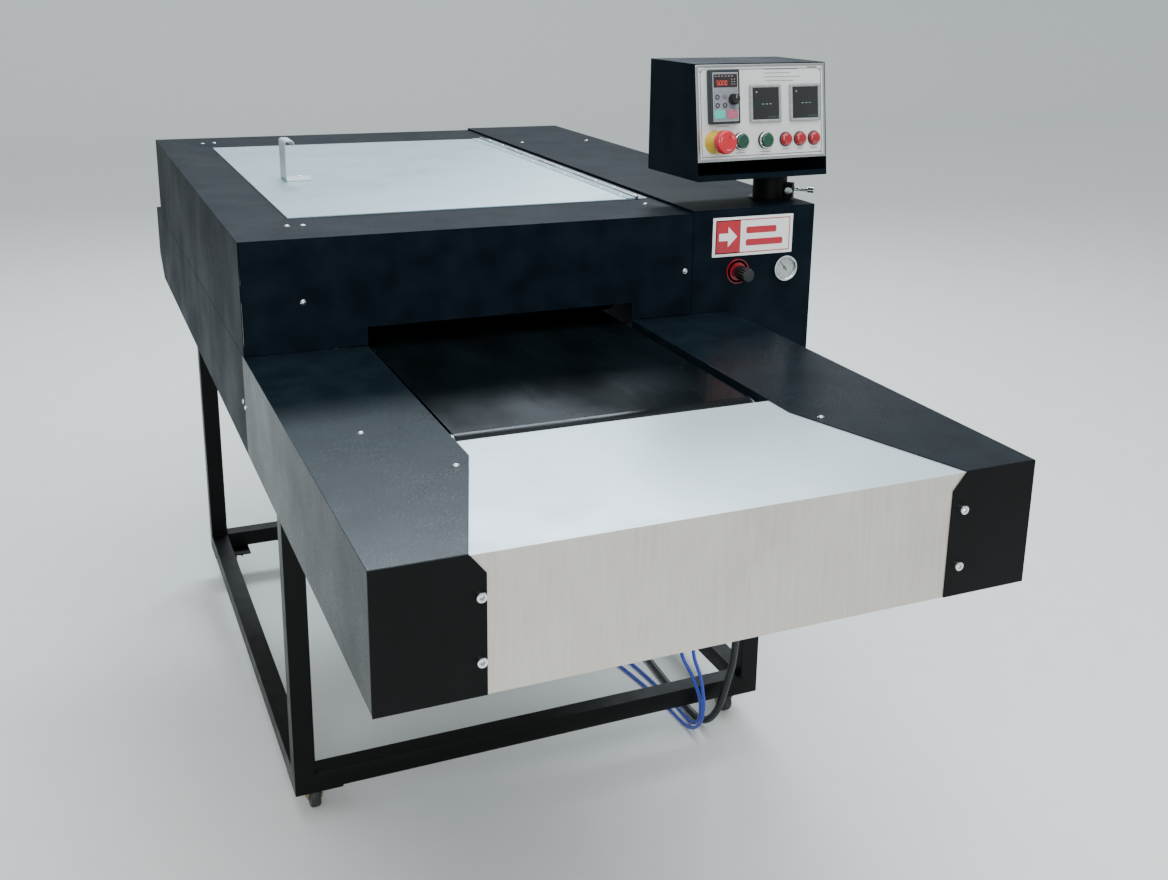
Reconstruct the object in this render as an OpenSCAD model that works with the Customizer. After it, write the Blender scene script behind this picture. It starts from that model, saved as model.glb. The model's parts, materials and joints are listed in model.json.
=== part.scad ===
// Conveyor heat press: a feed table and a belt that carry the work through a heated, pressed tunnel.
// Millimetres. +Z is up, the work goes in at the front (-Y) and comes out at the back.
// Inside the modules x is measured from the left outer face, y from the front of the arms and
// z from the floor; place() then moves the model's origin to the middle of its footprint.

/* [Body] */
// Width over both arms
body_w = 920; // [800:1:1104]
// Length of the arms in front of the hood
arm_l = 860; // [700:5:1040]
// Length of the hood
hood_l = 1390; // [1158:1:1668]
// Length of the lower body behind the hood
tail_l = 125; // [110:1:150]
// Height of the arm tops above the floor
deck_z = 972; // [850:1:1150]
// Depth of the lower body below the arm tops
tray_h = 178; // [160:1:210]
// Height of the hood above the arm tops
hood_h = 195; // [175:1:235]
// Thickness of the folded sheet
sheet_t = 1.5; // [1:0.1:3]
// Clear width between the arms, and of the tunnel
tunnel_w = 500; // [400:5:600]
// Height of the tunnel mouth above the arm tops
mouth_h = 33; // [20:1:40]
// Depth of the slope at the back lower corner, along the body
slope_l = 85; // [60:1:110]
// Height of the slope at the back lower corner
slope_h = 53; // [30:1:70]
// Depth of the arms' inner flanges beside the belt
flange_h = 28; // [20:1:30]

/* [Feed table] */
// Depth of the table from front to back
table_l = 357; // [300:1:430]
// Drop of the table top below the arm tops
table_drop = 2; // [1:0.5:5]
// Length over which the arms' inner edges spread towards the front
taper_l = 296; // [250:1:340]
// Width of an arm top at its front end
arm_tip_w = 115; // [80:1:140]
// Width of an end plate
end_plate_w = 136; // [120:1:160]
// Chamfer at the top inner corner of an end plate
end_chamfer = 21; // [10:1:30]
// Height of the table's front apron
apron_h = 179; // [160:1:210]

/* [Cabinet] */
// How far the cabinet stands out past the right arm
cab_out = 180; // [150:1:216]
// How far the cabinet reaches in over the body
cab_in = 85; // [70:1:100]
// Rise of the cabinet top above the hood top
cab_rise = 5; // [2:1:10]

/* [Lid] */
// Gap from the hood's left face to the lid
lid_x = 114.5; // [90:0.5:140]
// Gap from the hood's right edge to the lid's hinge edge
lid_right = 37; // [32:1:60]
// Gap from the hood's front to the lid
lid_front = 183; // [150:1:220]
// Gap from the hood's back to the lid
lid_back = 216; // [180:1:260]
// Overlap of the lid on the hood's rim
lid_lap = 20; // [12:1:30]
// Outer diameter of the hinge's knuckles
knuckle_d = 6; // [5:0.5:8]
// Diameter of the hinge pin
hinge_pin_d = 3; // [2:0.5:3.5]

/* [Base frame] */
// Side of the square tube
tube = 40; // [30:1:50]
// Wall of the square tube
tube_wall = 2.5; // [2:0.5:4]
// Gap from the body's left face to the left legs
leg_x = 55; // [30:1:90]
// Gap from the cabinet's right face to the right legs
leg_right = 34; // [20:1:60]
// Distance from the front of the arms to the front legs
leg_y = 925; // [860:5:1040]
// Distance from the hood's back to the back legs
leg_back = 108; // [80:1:150]

/* [Casters] */
// Side of a caster's mounting plate
caster_plate = 92; // [80:1:110]
// Radius of a caster wheel
wheel_r = 25; // [22:1:28]
// Width of a caster wheel
wheel_w = 20; // [16:1:26]
// Offset of the wheel from the swivel axis
caster_trail = 18; // [14:1:24]
// Radius of a caster axle
axle_r = 4; // [3:0.5:5]

/* [Belts and rollers] */
// Width of both belts
belt_w = 480; // [380:5:580]
// Thickness of the belts
belt_t = 1.2; // [0.8:0.1:2]
// Radius of the belt rollers
roller_r = 39; // [32:0.5:42]
// Radius of the rollers' journals
journal_r = 12; // [9:0.5:14]
// Drop of the lower belt's top run below the arm tops
belt_drop = 8; // [6:1:14]
// Gap between the two belts
belt_gap = 8; // [7:0.5:12]
// Gap from the table's back edge to the front roller's belt
front_gap = 5; // [3:1:12]
// Gap from the hood's front to the upper front roller's axis
upper_front_y = 95; // [80:1:130]
// Gap from the hood's back to the upper rear roller's axis
upper_back_y = 62; // [50:1:90]
// Gap from the body's back to the rear roller's axis
rear_back_y = 75; // [60:1:80]
// Radius of the press roller
press_r = 26; // [20:1:28]
// Stroke of the press roller
press_stroke = 6; // [4:0.5:8]
// Thickness of the heater plates
heater_t = 18; // [12:1:24]
// Thickness of the conveyor's side plates
side_t = 8; // [6:1:12]
// Radial clearance of every shaft in its bearing
fit_gap = 0.05; // [0.02:0.01:0.1]
// Gap between faces that pass or sit beside each other
slip_gap = 0.5; // [0.3:0.1:1]

/* [Drive] */
// Teeth of the motor's sprocket
motor_teeth = 15; // [13:1:17]
// Teeth of the roller's sprocket
roller_teeth = 20; // [18:1:21]
// Pitch of the chain
chain_pitch = 12.7; // [9.525:0.005:12.7]
// Distance between the two sprockets
sprocket_span = 215; // [190:1:260]

/* [Control box] */
// Width of the control box
box_w = 294; // [250:1:330]
// Depth of the control box at its bottom
box_d = 191; // [160:1:220]
// Height of the control box
box_h = 214; // [190:1:240]
// Lean of the control box's front, in degrees
box_lean = 7.4; // [0:0.1:12]
// Turn of the control box on its post, in degrees
box_turn = 3.7; // [-10:0.1:10]
// Gap from the cabinet top to the control box
box_lift = 56; // [50:1:90]
// Height of the front strip below the panel
skirt_h = 35; // [25:1:50]
// Distance of the box's middle to the left of the post
box_shift = 78; // [60:1:84]
// Distance of the box's front bottom edge in front of the post
box_front = 92; // [80:1:110]
// Gap from the cabinet's right face to the post's axis
post_in = 47; // [42:1:60]
// Gap from the cabinet's front to the post's axis
post_back = 95; // [80:1:120]
// Radius of the post
post_r = 30; // [25:1:32]
// Wall of the sleeve round the post
sleeve_wall = 4; // [3:0.5:6]
// Thickness of the panel plate
panel_t = 2; // [1.5:0.5:4]

/* [Panel devices] */
// Height of the row of buttons above the panel's bottom edge
row_v = 36; // [30:1:40]
// Distance between the middles of the stop, start and heat buttons
button_step = 56; // [50:1:58]
// Radius of the stop button's head
stop_r = 22; // [18:1:24]
// Radius of a push button's cap
cap_r = 13; // [11:0.5:14]
// Travel of a push button
cap_travel = 4; // [2:0.5:5]
// Travel of the stop button
stop_travel = 5; // [3:0.5:6]
// Radius of a pilot lamp
lamp_r = 14; // [10:0.5:15]
// Side of a temperature controller
ctrl_side = 71; // [60:1:72]
// Width of the speed keypad
keypad_w = 64; // [56:1:68]
// Height of the speed keypad
keypad_h = 99; // [90:1:104]
// Depth of the speed keypad in front of the panel
keypad_d = 14; // [10:1:18]
// Radius of the speed knob
speed_knob_r = 10; // [8:0.5:12]

/* [Air controls] */
// Radius of the regulator's ring
ring_r = 24; // [20:1:28]
// Radius of the regulator's knob
reg_knob_r = 14; // [11:0.5:17]
// Length of the regulator's knob
reg_knob_l = 42; // [35:1:50]
// Radius of the pressure gauge
gauge_r = 25; // [20:1:30]
// Height of the regulator and gauge above the arm tops
air_z = 78; // [60:1:90]

/* [Cords] */
// Diameter of the air hoses
hose_d = 8; // [6:1:8]
// Diameter of the mains cable
cable_d = 16; // [10:0.1:16]

/* [Hidden] */
$fn = 48;
corners = ["fl", "fr", "rl", "rr"];

// Main stations along the machine
hood_y = arm_l;
hood_end = arm_l + hood_l;
body_end = hood_end + tail_l;
under_z = deck_z - tray_h;
hood_top = deck_z + hood_h;
cab_x = body_w - cab_in;
cab_right = body_w + cab_out;
cab_top = hood_top + cab_rise;
mid_x = body_w / 2;
in_left = mid_x - tunnel_w / 2;
in_right = mid_x + tunnel_w / 2;

// Side plates of the conveyor
side_gap = 22;
plate_in_l = in_left - side_gap;
plate_out_l = plate_in_l - side_t;
plate_in_r = in_right + side_gap;
plate_out_r = plate_in_r + side_t;
plate_rise = 150;
plate_drop = table_drop + sheet_t;
plate_front = 30;
flange_t = 16;
flange_r = 26;

// Belts and rollers
wrap_gap = 0.3;
wrap_r = roller_r + wrap_gap;
low_z = deck_z - belt_drop - belt_t - wrap_r;
up_z = deck_z - belt_drop + belt_gap + belt_t + wrap_r;
front_y = table_l + front_gap + belt_t + wrap_r;
rear_y = body_end - rear_back_y;
upper_front = hood_y + upper_front_y;
upper_rear = hood_end - upper_back_y;
roller_face = tunnel_w - 10;
shaft_end = flange_t + 4;
press_y = upper_rear - 88;
press_journal_r = 10;
press_z = up_z - wrap_r + press_stroke + slip_gap + press_r;
counter_z = low_z + wrap_r - slip_gap - press_r;
block_t = 18;
block_gap = 10;
block_w = 50;
block_h = 44;
rod_r = 6;
rod_in = 40;
barrel_r = 18;
barrel_z = press_z + block_h / 2 + press_stroke + 2;
barrel_top = deck_z + plate_rise;
heat_start = upper_front + roller_r + 25;
heat_end = press_y - press_r - 30;
heater_w = belt_w - 10;

// Drive
function pitch_radius(teeth) = chain_pitch / (2 * sin(180 / teeth));
motor_y = rear_y - sprocket_span;
chain_x = plate_out_r + flange_t + 39;
sprocket_t = 4;
tooth_h = 3.5;
link_half = 4.5;
// The roller's sprocket has the stated teeth, or as many as fit under the cover above it
teeth_room = deck_z - sheet_t - 1.5 - link_half - low_z;
fitted_teeth = min(roller_teeth, floor(180 / asin(chain_pitch / 2 / teeth_room)));
link_in = 3;
link_t = 2;
motor_shaft_r = 10;
gearbox_x = chain_x + 17;
gearbox_side = 90;
gearbox_l = 80;
motor_r = 45;
motor_l = 150;

// Casters
caster_h = 2 * wheel_r + 21;
mount_t = 4;
foot_z = caster_h + mount_t;
leg_x2 = cab_right - leg_right - tube;
leg_y2 = hood_end - leg_back - tube;
top_t = 2.5;
race_t = 5;
race_r = 18;
kingpin_r = 5;
crown_t = 3;
crown_z = caster_h - top_t - race_t - slip_gap - crown_t;
pin_head_t = 2;
cheek_t = 2.5;
cheek_gap = 1.5;

// Lid and its hinge
lid_t = 2;
lid_x2 = cab_x - lid_right;
lid_y1 = hood_y + lid_front;
lid_y2 = hood_end - lid_back;
hinge_x = lid_x2 + knuckle_d / 2 + slip_gap;
hinge_z = hood_top + knuckle_d / 2 + slip_gap;
knuckles = 9;
knuckle_l = (lid_y2 - lid_y1) / knuckles;
leaf_w = 20;
leaf_t = 1.2;
handle_x = lid_x + 72;
handle_y = lid_y1 + 408;
handle_w = 66;
handle_h = 84;
handle_foot = 58;
handle_lip = 20;

// Control box and its post
post_x = cab_right - post_in;
post_y = hood_y + post_back;
box_z = cab_top + box_lift;
sleeve_r = post_r + sleeve_wall;
box_left = -box_shift - box_w / 2;
box_back = box_d - box_front;
panel_w = box_w - 2 * sheet_t - 1;
panel_h = (box_h - sheet_t - skirt_h) / cos(box_lean) - 1;
bolt_r = 4;
ear_h = 30;
ear_l = 14;
ear_t = 6;
slit_w = 3;
lever_z = 18;
lever_l = 34;
grip_r = 6;
origin_x = max(cab_right, post_x + box_left + box_w + box_front * sin(box_turn)) / 2;
origin_y = body_end / 2;

// Panel devices, measured from the panel's lower left corner
hole_r = 11;
stem_r = 10.5;
device_left = 23;
device_right = 13;
keypad_u = device_left;
ctrl2_u = panel_w - device_right - ctrl_side;
ctrl1_u = ctrl2_u - ctrl_side - 20;
keypad_v = panel_h - keypad_h - 10;
ctrl_v = keypad_v;
ctrl_t = 6;
ctrl_body = ctrl_side - 5;
ctrl_depth = 60;
knob_u = keypad_u + keypad_w - 17;
knob_v = keypad_v + 45;
knob_stem_r = 3;
stop_u = 37;
stop_head_t = 14;
stop_collar_t = 27;
stop_proud = stop_collar_t + stop_travel + stop_head_t;
lamp_step = 2 * lamp_r + 5;
lamp3_u = panel_w - 28;
lamp1_u = lamp3_u - 2 * lamp_step;
start_u = stop_u + button_step;
heat_u = start_u + button_step;
cap_t = 9;

// Air controls on the cabinet's front
reg_x = body_w + 12;
gauge_x = reg_x + 104;
air_line_z = deck_z + air_z;
ring_t = 4;
reg_stem_r = 6;
gauge_t = 10;
gauge_rim = 2.5;
gauge_pin_r = 1.5;

// Screws: centre and the direction that each head faces
shank_r = 4;
shank_l = 8;
head_r = 6.5;
head_t = 6;
plate_t = 2;
lid_screw_in = 27;
top_screws = [
    [lid_x - 14, lid_y1 - 71], [lid_x + lid_screw_in - 14, lid_y1 - 73],
    [lid_x - 13, lid_y2 + 95], [lid_x + 16, lid_y2 + 103], [lid_x2 - 6, lid_y1 - 60]];
cab_screws = [[cab_x + 37, hood_end - 350], [cab_right - 49, hood_end - 354]];
arm_screws = [[95, 431], [in_left - 28, 264], [in_right + 31, 257]];
front_screws = [[102, 86], [cab_x - 16, 86]];
plate_bolt_x = [end_plate_w - 8, body_w - end_plate_w + 18];
plate_bolt_z = [-53, -135];
side_bolts = [[hood_y + 6, -89], [hood_y + 29, -85]];
seam_y = hood_y + 17;

// Small allowances
seam_gap = 0.5;
hood_end_gap = 0.2;
hood_end_t = sheet_t + 0.5;
back_drop = 14;
neck_r = 11;
barrel_l = 20;
stem_in = 16;
lamp_t = 11;
dial_t = 4;
needle_t = 1;
needle_rest = 40;
clamp_angle = -45;

// Cords: routes from the middle of each exit down to the floor, given for a cabinet at route_cab_x
route_cab_x = 835;
function routed(path) = [for (p = path) p + [cab_x - route_cab_x, 0, 0]];
fitting_l = 18;
gland_l = 22;
relief_l = 36;
hose_low = hose_d / 2;
cable_low = cable_d / 2;
hose_left_path = routed([
    [848, 905, under_z - fitting_l], [848, 905, 735], [849, 905, 660], [850, 905, 560],
    [852, 905, 450], [855, 905, 340], [859, 905, 262], [867, 905, 212], [880, 905, 183],
    [894, 905, 155], [907, 905, 120], [915, 905, 90], [919, 909, 62], [921, 919, 37],
    [923, 937, 18], [924, 960, 7], [925, 990, hose_low], [925, 1040, hose_low],
    [922, 1110, hose_low], [915, 1190, hose_low], [905, 1270, hose_low], [893, 1345, hose_low]]);
hose_right_path = routed([
    [874, 888, under_z - fitting_l], [874, 888, 735], [874, 888, 660], [875, 888, 560],
    [876, 888, 450], [878, 888, 340], [881, 888, 270], [886, 888, 217], [896, 888, 185],
    [905, 888, 158], [911, 888, 125], [915, 888, 92], [915, 892, 64], [914, 901, 39],
    [912, 918, 20], [910, 941, 8], [908, 970, hose_low], [905, 1030, hose_low],
    [898, 1110, hose_low], [887, 1190, hose_low], [873, 1270, hose_low], [858, 1340, hose_low]]);
cable_path = routed([
    [985, 893, under_z - gland_l - relief_l], [985, 893, 690], [986, 893, 600], [988, 893, 500],
    [990, 893, 400], [991, 893, 310], [989, 893, 230], [984, 893, 175], [974, 893, 135],
    [963, 893, 98], [955, 900, 64], [949, 918, 35], [945, 946, 15], [943, 982, cable_low],
    [943, 1050, cable_low], [947, 1140, cable_low], [952, 1240, cable_low], [954, 1340, cable_low],
    [954, 1430, cable_low], [954, 1500, cable_low]]);
coil_mean_r = 5.5 * cable_d;
coil_layer = 3 * cable_d;
coil_x = cable_path[len(cable_path) - 1][0] - coil_mean_r - cable_d;
coil_y = cable_path[len(cable_path) - 1][1];
plug_r = 24;
plug_l = 62;
plug_tail = 34;
plug_shift = 45;

// ---------- helpers ----------

module place() {
    translate([-origin_x, -origin_y, 0]) children();
}

// A box from its lowest to its highest corner
module block(a, b) {
    translate(a) cube(b - a);
}

// A flat shape in y and z, made thick along x
module slab_x(x, t) {
    translate([x, 0, 0]) rotate([90, 0, 90]) linear_extrude(t) children();
}

// A flat shape in x and z, made thick along y
module slab_y(y, t) {
    translate([0, y + t, 0]) rotate([90, 0, 0]) linear_extrude(t) children();
}

module rod_x(x1, x2, y, z, r) {
    translate([x1, y, z]) rotate([0, 90, 0]) cylinder(h = x2 - x1, r = r);
}

module rod_y(y1, y2, x, z, r) {
    translate([x, y1, z]) rotate([-90, 0, 0]) cylinder(h = y2 - y1, r = r);
}

module tube_z(x, y, z1, z2) {
    difference() {
        block([x, y, z1], [x + tube, y + tube, z2]);
        block([x + tube_wall, y + tube_wall, z1 - 1],
            [x + tube - tube_wall, y + tube - tube_wall, z2 + 1]);
    }
}

module tube_x(x1, x2, y, z) {
    difference() {
        block([x1, y, z], [x2, y + tube, z + tube]);
        block([x1 - 1, y + tube_wall, z + tube_wall],
            [x2 + 1, y + tube - tube_wall, z + tube - tube_wall]);
    }
}

module tube_y(x, y1, y2, z) {
    difference() {
        block([x, y1, z], [x + tube, y2, z + tube]);
        block([x + tube_wall, y1 - 1, z + tube_wall],
            [x + tube - tube_wall, y2 + 1, z + tube - tube_wall]);
    }
}

// The outline of a belt round two circles of radius r, d apart
module loop_outline(d, r) {
    circle(r);
    translate([d, 0]) circle(r);
    translate([0, -r]) square([d, 2 * r]);
}

// The outline of a chain round two circles of different size, d apart
module band_outline(d, r1, r2) {
    reach = 90 + asin((r2 - r1) / d);
    steps = 24;
    polygon(concat(
        [for (i = [0:steps]) let (a = reach * (2 * i / steps - 1)) [d + r2 * cos(a), r2 * sin(a)]],
        [for (i = [0:steps]) let (a = reach + (360 - 2 * reach) * i / steps) [r1 * cos(a), r1 * sin(a)]]));
}

// The unit vector along v
function unit(v) = v / norm(v);

// A point on the smooth curve through the route, s counted in route points
function route_point(p, s) =
    let (i = min(floor(s), len(p) - 2), t = s - i,
        a = p[max(i - 1, 0)], b = p[i], c = p[i + 1], d = p[min(i + 2, len(p) - 1)])
    0.5 * (2 * b + (c - a) * t + (2 * a - 5 * b + 4 * c - d) * t * t
        + (3 * b - a - 3 * c + d) * t * t * t);

// A cord's solid: a ring of points round each step of the route
module cord(path, d, steps = 3, sides = 8) {
    rings = (len(path) - 1) * steps;
    centre = [for (i = [0:rings]) route_point(path, i / steps)];
    along = [for (i = [0:rings]) unit(centre[min(i + 1, rings)] - centre[max(i - 1, 0)])];
    side = [for (t = along) unit(cross(t, [1, 0.001, 0]))];
    points = [for (i = [0:rings]) for (k = [0:sides - 1])
        let (a = 360 * k / sides)
        centre[i] + d / 2 * (cos(a) * side[i] + sin(a) * cross(along[i], side[i]))];
    walls = [for (i = [0:rings - 1]) for (k = [0:sides - 1])
        let (n = (k + 1) % sides)
        [i * sides + k, i * sides + n, (i + 1) * sides + n, (i + 1) * sides + k]];
    ends = [[for (k = [sides - 1:-1:0]) k], [for (k = [0:sides - 1]) rings * sides + k]];
    polyhedron(points, concat(walls, ends), convexity = 10);
}

// ---------- base frame and casters ----------

module base_frame() {
    color("#17181b") place() {
        for (x = [leg_x, leg_x2], y = [leg_y, leg_y2]) tube_z(x, y, foot_z, under_z);
        for (x = [leg_x, leg_x2], z = [foot_z, under_z - tube])
            tube_y(x, leg_y + tube, leg_y2, z);
        for (y = [leg_y, leg_y2], z = [foot_z, under_z - tube])
            tube_x(leg_x + tube, leg_x2, y, z);
        for (c = corners) at_caster(c)
            block([-caster_plate / 2, -caster_plate / 2, caster_h],
                [caster_plate / 2, caster_plate / 2, foot_z]);
    }
}

// Moves its children to the swivel axis of one caster
module at_caster(c) {
    x = (c == "fl" || c == "rl") ? leg_x + caster_plate / 2 : leg_x2 + tube - caster_plate / 2;
    y = (c == "fl" || c == "fr") ? leg_y + caster_plate / 2 : leg_y2 + tube - caster_plate / 2;
    translate([x, y, 0]) children();
}

module caster_tops() {
    color("#a89468") place() for (c = corners) at_caster(c) {
        block([-32, -32, caster_h - top_t], [32, 32, caster_h]);
        translate([0, 0, caster_h - top_t - race_t]) cylinder(h = race_t, r = race_r);
        translate([0, 0, crown_z - slip_gap - pin_head_t])
            cylinder(h = caster_h - top_t - crown_z + slip_gap + pin_head_t, r = kingpin_r);
        translate([0, 0, crown_z - slip_gap - pin_head_t]) cylinder(h = pin_head_t, r = 8);
    }
}

module caster_fork(c) {
    inner = wheel_w / 2 + cheek_gap;
    color("#b39b63") place() at_caster(c) {
        difference() {
            union() {
                block([-inner - cheek_t, -17, crown_z], [inner + cheek_t, 20, crown_z + crown_t]);
                for (x = [-inner - cheek_t, inner]) slab_x(x, cheek_t) {
                    polygon([[-17, crown_z + crown_t], [20, crown_z + crown_t],
                        [caster_trail + 9, wheel_r], [caster_trail - 9, wheel_r]]);
                    translate([caster_trail, wheel_r]) circle(9);
                }
            }
            translate([0, 0, crown_z - 1])
                cylinder(h = crown_t + 2, r = kingpin_r + fit_gap);
        }
        rod_x(-inner - cheek_t - 3, inner + cheek_t + 3, caster_trail, wheel_r, axle_r);
    }
}

module caster_wheel(c) {
    color("#2b2b2d") place() at_caster(c) translate([0, caster_trail, wheel_r])
        rotate([0, 90, 0]) rotate_extrude()
            polygon([[axle_r + fit_gap, -wheel_w / 2], [wheel_r - 3, -wheel_w / 2],
                [wheel_r - 0.8, -wheel_w / 2 + 1.5], [wheel_r, -wheel_w / 2 + 5],
                [wheel_r, wheel_w / 2 - 5], [wheel_r - 0.8, wheel_w / 2 - 1.5],
                [wheel_r - 3, wheel_w / 2], [axle_r + fit_gap, wheel_w / 2]]);
}

// ---------- conveyor ----------

// The outline of a conveyor side plate
module side_outline() {
    polygon([[plate_front, under_z], [body_end - slope_l - 10, under_z],
        [body_end - 12, under_z + slope_h + 4], [body_end - 12, deck_z - plate_drop],
        [hood_end - 8, deck_z - plate_drop], [hood_end - 8, deck_z + plate_rise - 30],
        [hood_end - 40, deck_z + plate_rise], [hood_y + 60, deck_z + plate_rise],
        [hood_y + 25, deck_z + plate_rise - 40], [hood_y + 25, deck_z - plate_drop],
        [plate_front, deck_z - plate_drop]]);
}

module conveyor_frame() {
    color("#4a4d52") place() {
        for (x = [plate_out_l, plate_in_r]) difference() {
            slab_x(x, side_t) side_outline();
            for (p = shaft_places()) rod_x(x - 1, x + side_t + 1, p[0], p[1], journal_r + 2);
            for (z = [press_z, press_z - press_stroke])
                rod_x(x - 1, x + side_t + 1, press_y, z, press_journal_r + 1.5);
            block([x - 1, press_y - press_journal_r - 1.5, press_z - press_stroke],
                [x + side_t + 1, press_y + press_journal_r + 1.5, press_z]);
        }
        for (y = [120, 640, hood_y + 300, hood_end - 420])
            rod_x(plate_in_l, plate_in_r, y, under_z + 24, 12);
        for (y = [hood_y + 150, hood_y + hood_l / 2, hood_end - 260])
            rod_x(plate_in_l, plate_in_r, y, deck_z + plate_rise - 18, 12);
    }
}

// Axes of the shafts that turn in flange bearings, as y and z
function shaft_places() = [[front_y, low_z], [rear_y, low_z], [upper_front, up_z],
    [upper_rear, up_z], [press_y, counter_z]];

module roller_bearings() {
    color("#7d8186") place()
        for (p = shaft_places(), x = [plate_out_l - flange_t, plate_out_r]) difference() {
            rod_x(x, x + flange_t, p[0], p[1], flange_r);
            rod_x(x - 1, x + flange_t + 1, p[0], p[1], journal_r + fit_gap);
        }
}

// A belt roller with its two journals, the right one reaching to x_end
module roller(y, z, r, journal, x_start, x_end) {
    rod_x(mid_x - roller_face / 2, mid_x + roller_face / 2, y, z, r);
    rod_x(x_start, x_end, y, z, journal);
}

module belt_roller(y, z, r) {
    roller(y, z, r, journal_r, plate_out_l - shaft_end, plate_out_r + shaft_end);
}

module front_roller() { color("#9a9da1") place() belt_roller(front_y, low_z, roller_r); }

module rear_roller() {
    color("#9a9da1") place() {
        roller(rear_y, low_z, roller_r, journal_r, plate_out_l - shaft_end, chain_x + 8);
        sprocket(rear_y, fitted_teeth);
    }
}

module upper_front_roller() { color("#9a9da1") place() belt_roller(upper_front, up_z, roller_r); }

module upper_rear_roller() { color("#9a9da1") place() belt_roller(upper_rear, up_z, roller_r); }

module counter_roller() { color("#8d9094") place() belt_roller(press_y, counter_z, press_r); }

// A belt round two rollers of the same size
module belt(y1, y2, z) {
    color("#17181a") place() translate([mid_x - belt_w / 2, y1, z])
        rotate([90, 0, 90]) linear_extrude(belt_w) difference() {
            loop_outline(y2 - y1, wrap_r + belt_t);
            loop_outline(y2 - y1, wrap_r);
        }
}

module lower_belt() { belt(front_y, rear_y, low_z); }

module upper_belt() { belt(upper_front, upper_rear, up_z); }

module heater_plates() {
    color("#b5b8bb") place() for (z = [low_z + wrap_r - heater_t - 0.2, up_z - wrap_r + 0.2]) {
        block([mid_x - heater_w / 2, heat_start, z], [mid_x + heater_w / 2, heat_end, z + heater_t]);
        for (y = [heat_start + 60, heat_end - 90])
            block([plate_in_l, y, z + 3], [plate_in_r, y + 30, z + heater_t - 3]);
    }
}

// ---------- press ----------

// Middles of the two carriage blocks along x
function press_sides() = [plate_out_l - block_gap - block_t / 2, plate_out_r + block_gap + block_t / 2];

module press_roller() {
    color("#7a3b2e") place()
        roller(press_y, press_z, press_r, press_journal_r, press_sides()[0] - block_t / 2 - 3,
            press_sides()[1] + block_t / 2 + 3);
}

module press_carriage() {
    color("#8a8d91") place() for (x = press_sides()) {
        difference() {
            block([x - block_t / 2, press_y - block_w / 2, press_z - block_h / 2],
                [x + block_t / 2, press_y + block_w / 2, press_z + block_h / 2]);
            rod_x(x - block_t, x + block_t, press_y, press_z, press_journal_r + fit_gap);
        }
        translate([x, press_y, press_z + block_h / 2])
            cylinder(h = barrel_z + rod_in - press_z - block_h / 2, r = rod_r);
    }
}

module press_cylinders() {
    color("#b9bcc0") place() for (i = [0, 1]) {
        x = press_sides()[i];
        plate_x = i == 0 ? plate_out_l : plate_out_r;
        difference() {
            union() {
                translate([x, press_y, barrel_z]) cylinder(h = barrel_top - barrel_z, r = barrel_r);
                block([min(x, plate_x), press_y - 11, barrel_z + 12],
                    [max(x, plate_x), press_y + 11, barrel_top - 12]);
            }
            translate([x, press_y, barrel_z - 1])
                cylinder(h = rod_in + 5, r = rod_r + fit_gap);
        }
    }
}

// ---------- drive ----------

module sprocket(y, teeth) {
    pr = pitch_radius(teeth);
    step = 360 / teeth;
    slab_x(chain_x - sprocket_t / 2, sprocket_t) translate([y, low_z])
        polygon([for (i = [0:teeth - 1]) for (k = [[-0.32, -1], [-0.13, 1], [0.13, 1], [0.32, -1]])
            (pr + k[1] * tooth_h) * [cos(step * (i + k[0])), sin(step * (i + k[0]))]]);
    rod_x(chain_x - 8, chain_x - sprocket_t / 2, y, low_z, motor_shaft_r + 8);
}

module motor_sprocket() {
    color("#6e7175") place() {
        sprocket(motor_y, motor_teeth);
        rod_x(chain_x - 8, gearbox_x + 40, motor_y, low_z, motor_shaft_r);
    }
}

module drive_chain() {
    color("#55585c") place() for (x = [chain_x - link_in - link_t, chain_x + link_in])
        translate([x, motor_y, low_z]) rotate([90, 0, 90]) linear_extrude(link_t) difference() {
            band_outline(sprocket_span, pitch_radius(motor_teeth) + link_half,
                pitch_radius(fitted_teeth) + link_half);
            band_outline(sprocket_span, pitch_radius(motor_teeth) - link_half,
                pitch_radius(fitted_teeth) - link_half);
        }
}

module gear_motor() {
    half = gearbox_side / 2;
    color("#3f5c7a") place() difference() {
        union() {
            block([gearbox_x, motor_y - half, low_z - half],
                [gearbox_x + gearbox_l, motor_y + half, low_z + half]);
            block([gearbox_x + 8, motor_y - half, under_z + sheet_t],
                [gearbox_x + gearbox_l - 8, motor_y + half, low_z - half]);
            rod_x(gearbox_x + gearbox_l, gearbox_x + gearbox_l + motor_l, motor_y, low_z, motor_r);
        }
        rod_x(gearbox_x - 1, gearbox_x + 41, motor_y, low_z, motor_shaft_r + fit_gap);
    }
}

// ---------- sheet covers ----------

// One arm's top seen from above, for the left arm
module arm_top(rear) {
    polygon([[0, plate_t], [arm_tip_w, plate_t], [in_left, taper_l], [in_left, rear], [0, rear]]);
}

// The walls of one arm, drawn as the left arm; side_rear is where its outer side ends. A side that
// ends behind the hood's front has a lip of the top beside it, tucked under the hood.
module arm_cover(side_rear) {
    lip_x = plate_out_l - shaft_end - 10;
    rear = hood_y - seam_gap;
    translate([0, 0, deck_z - sheet_t]) linear_extrude(sheet_t) arm_top(rear);
    if (side_rear > rear) block([0, rear - 1, deck_z - sheet_t], [lip_x, side_rear, deck_z]);
    block([0, plate_t, under_z], [sheet_t, side_rear, deck_z]);
    block([in_left - sheet_t, table_l + seam_gap, deck_z - flange_h], [in_left, rear, deck_z]);
}

module arm_cover_left() { color("#2b2e33") place() arm_cover(seam_y); }

module arm_cover_right() {
    color("#2b2e33") place() translate([body_w, 0, 0]) mirror([1, 0, 0])
        arm_cover(hood_y - seam_gap);
}

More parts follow.
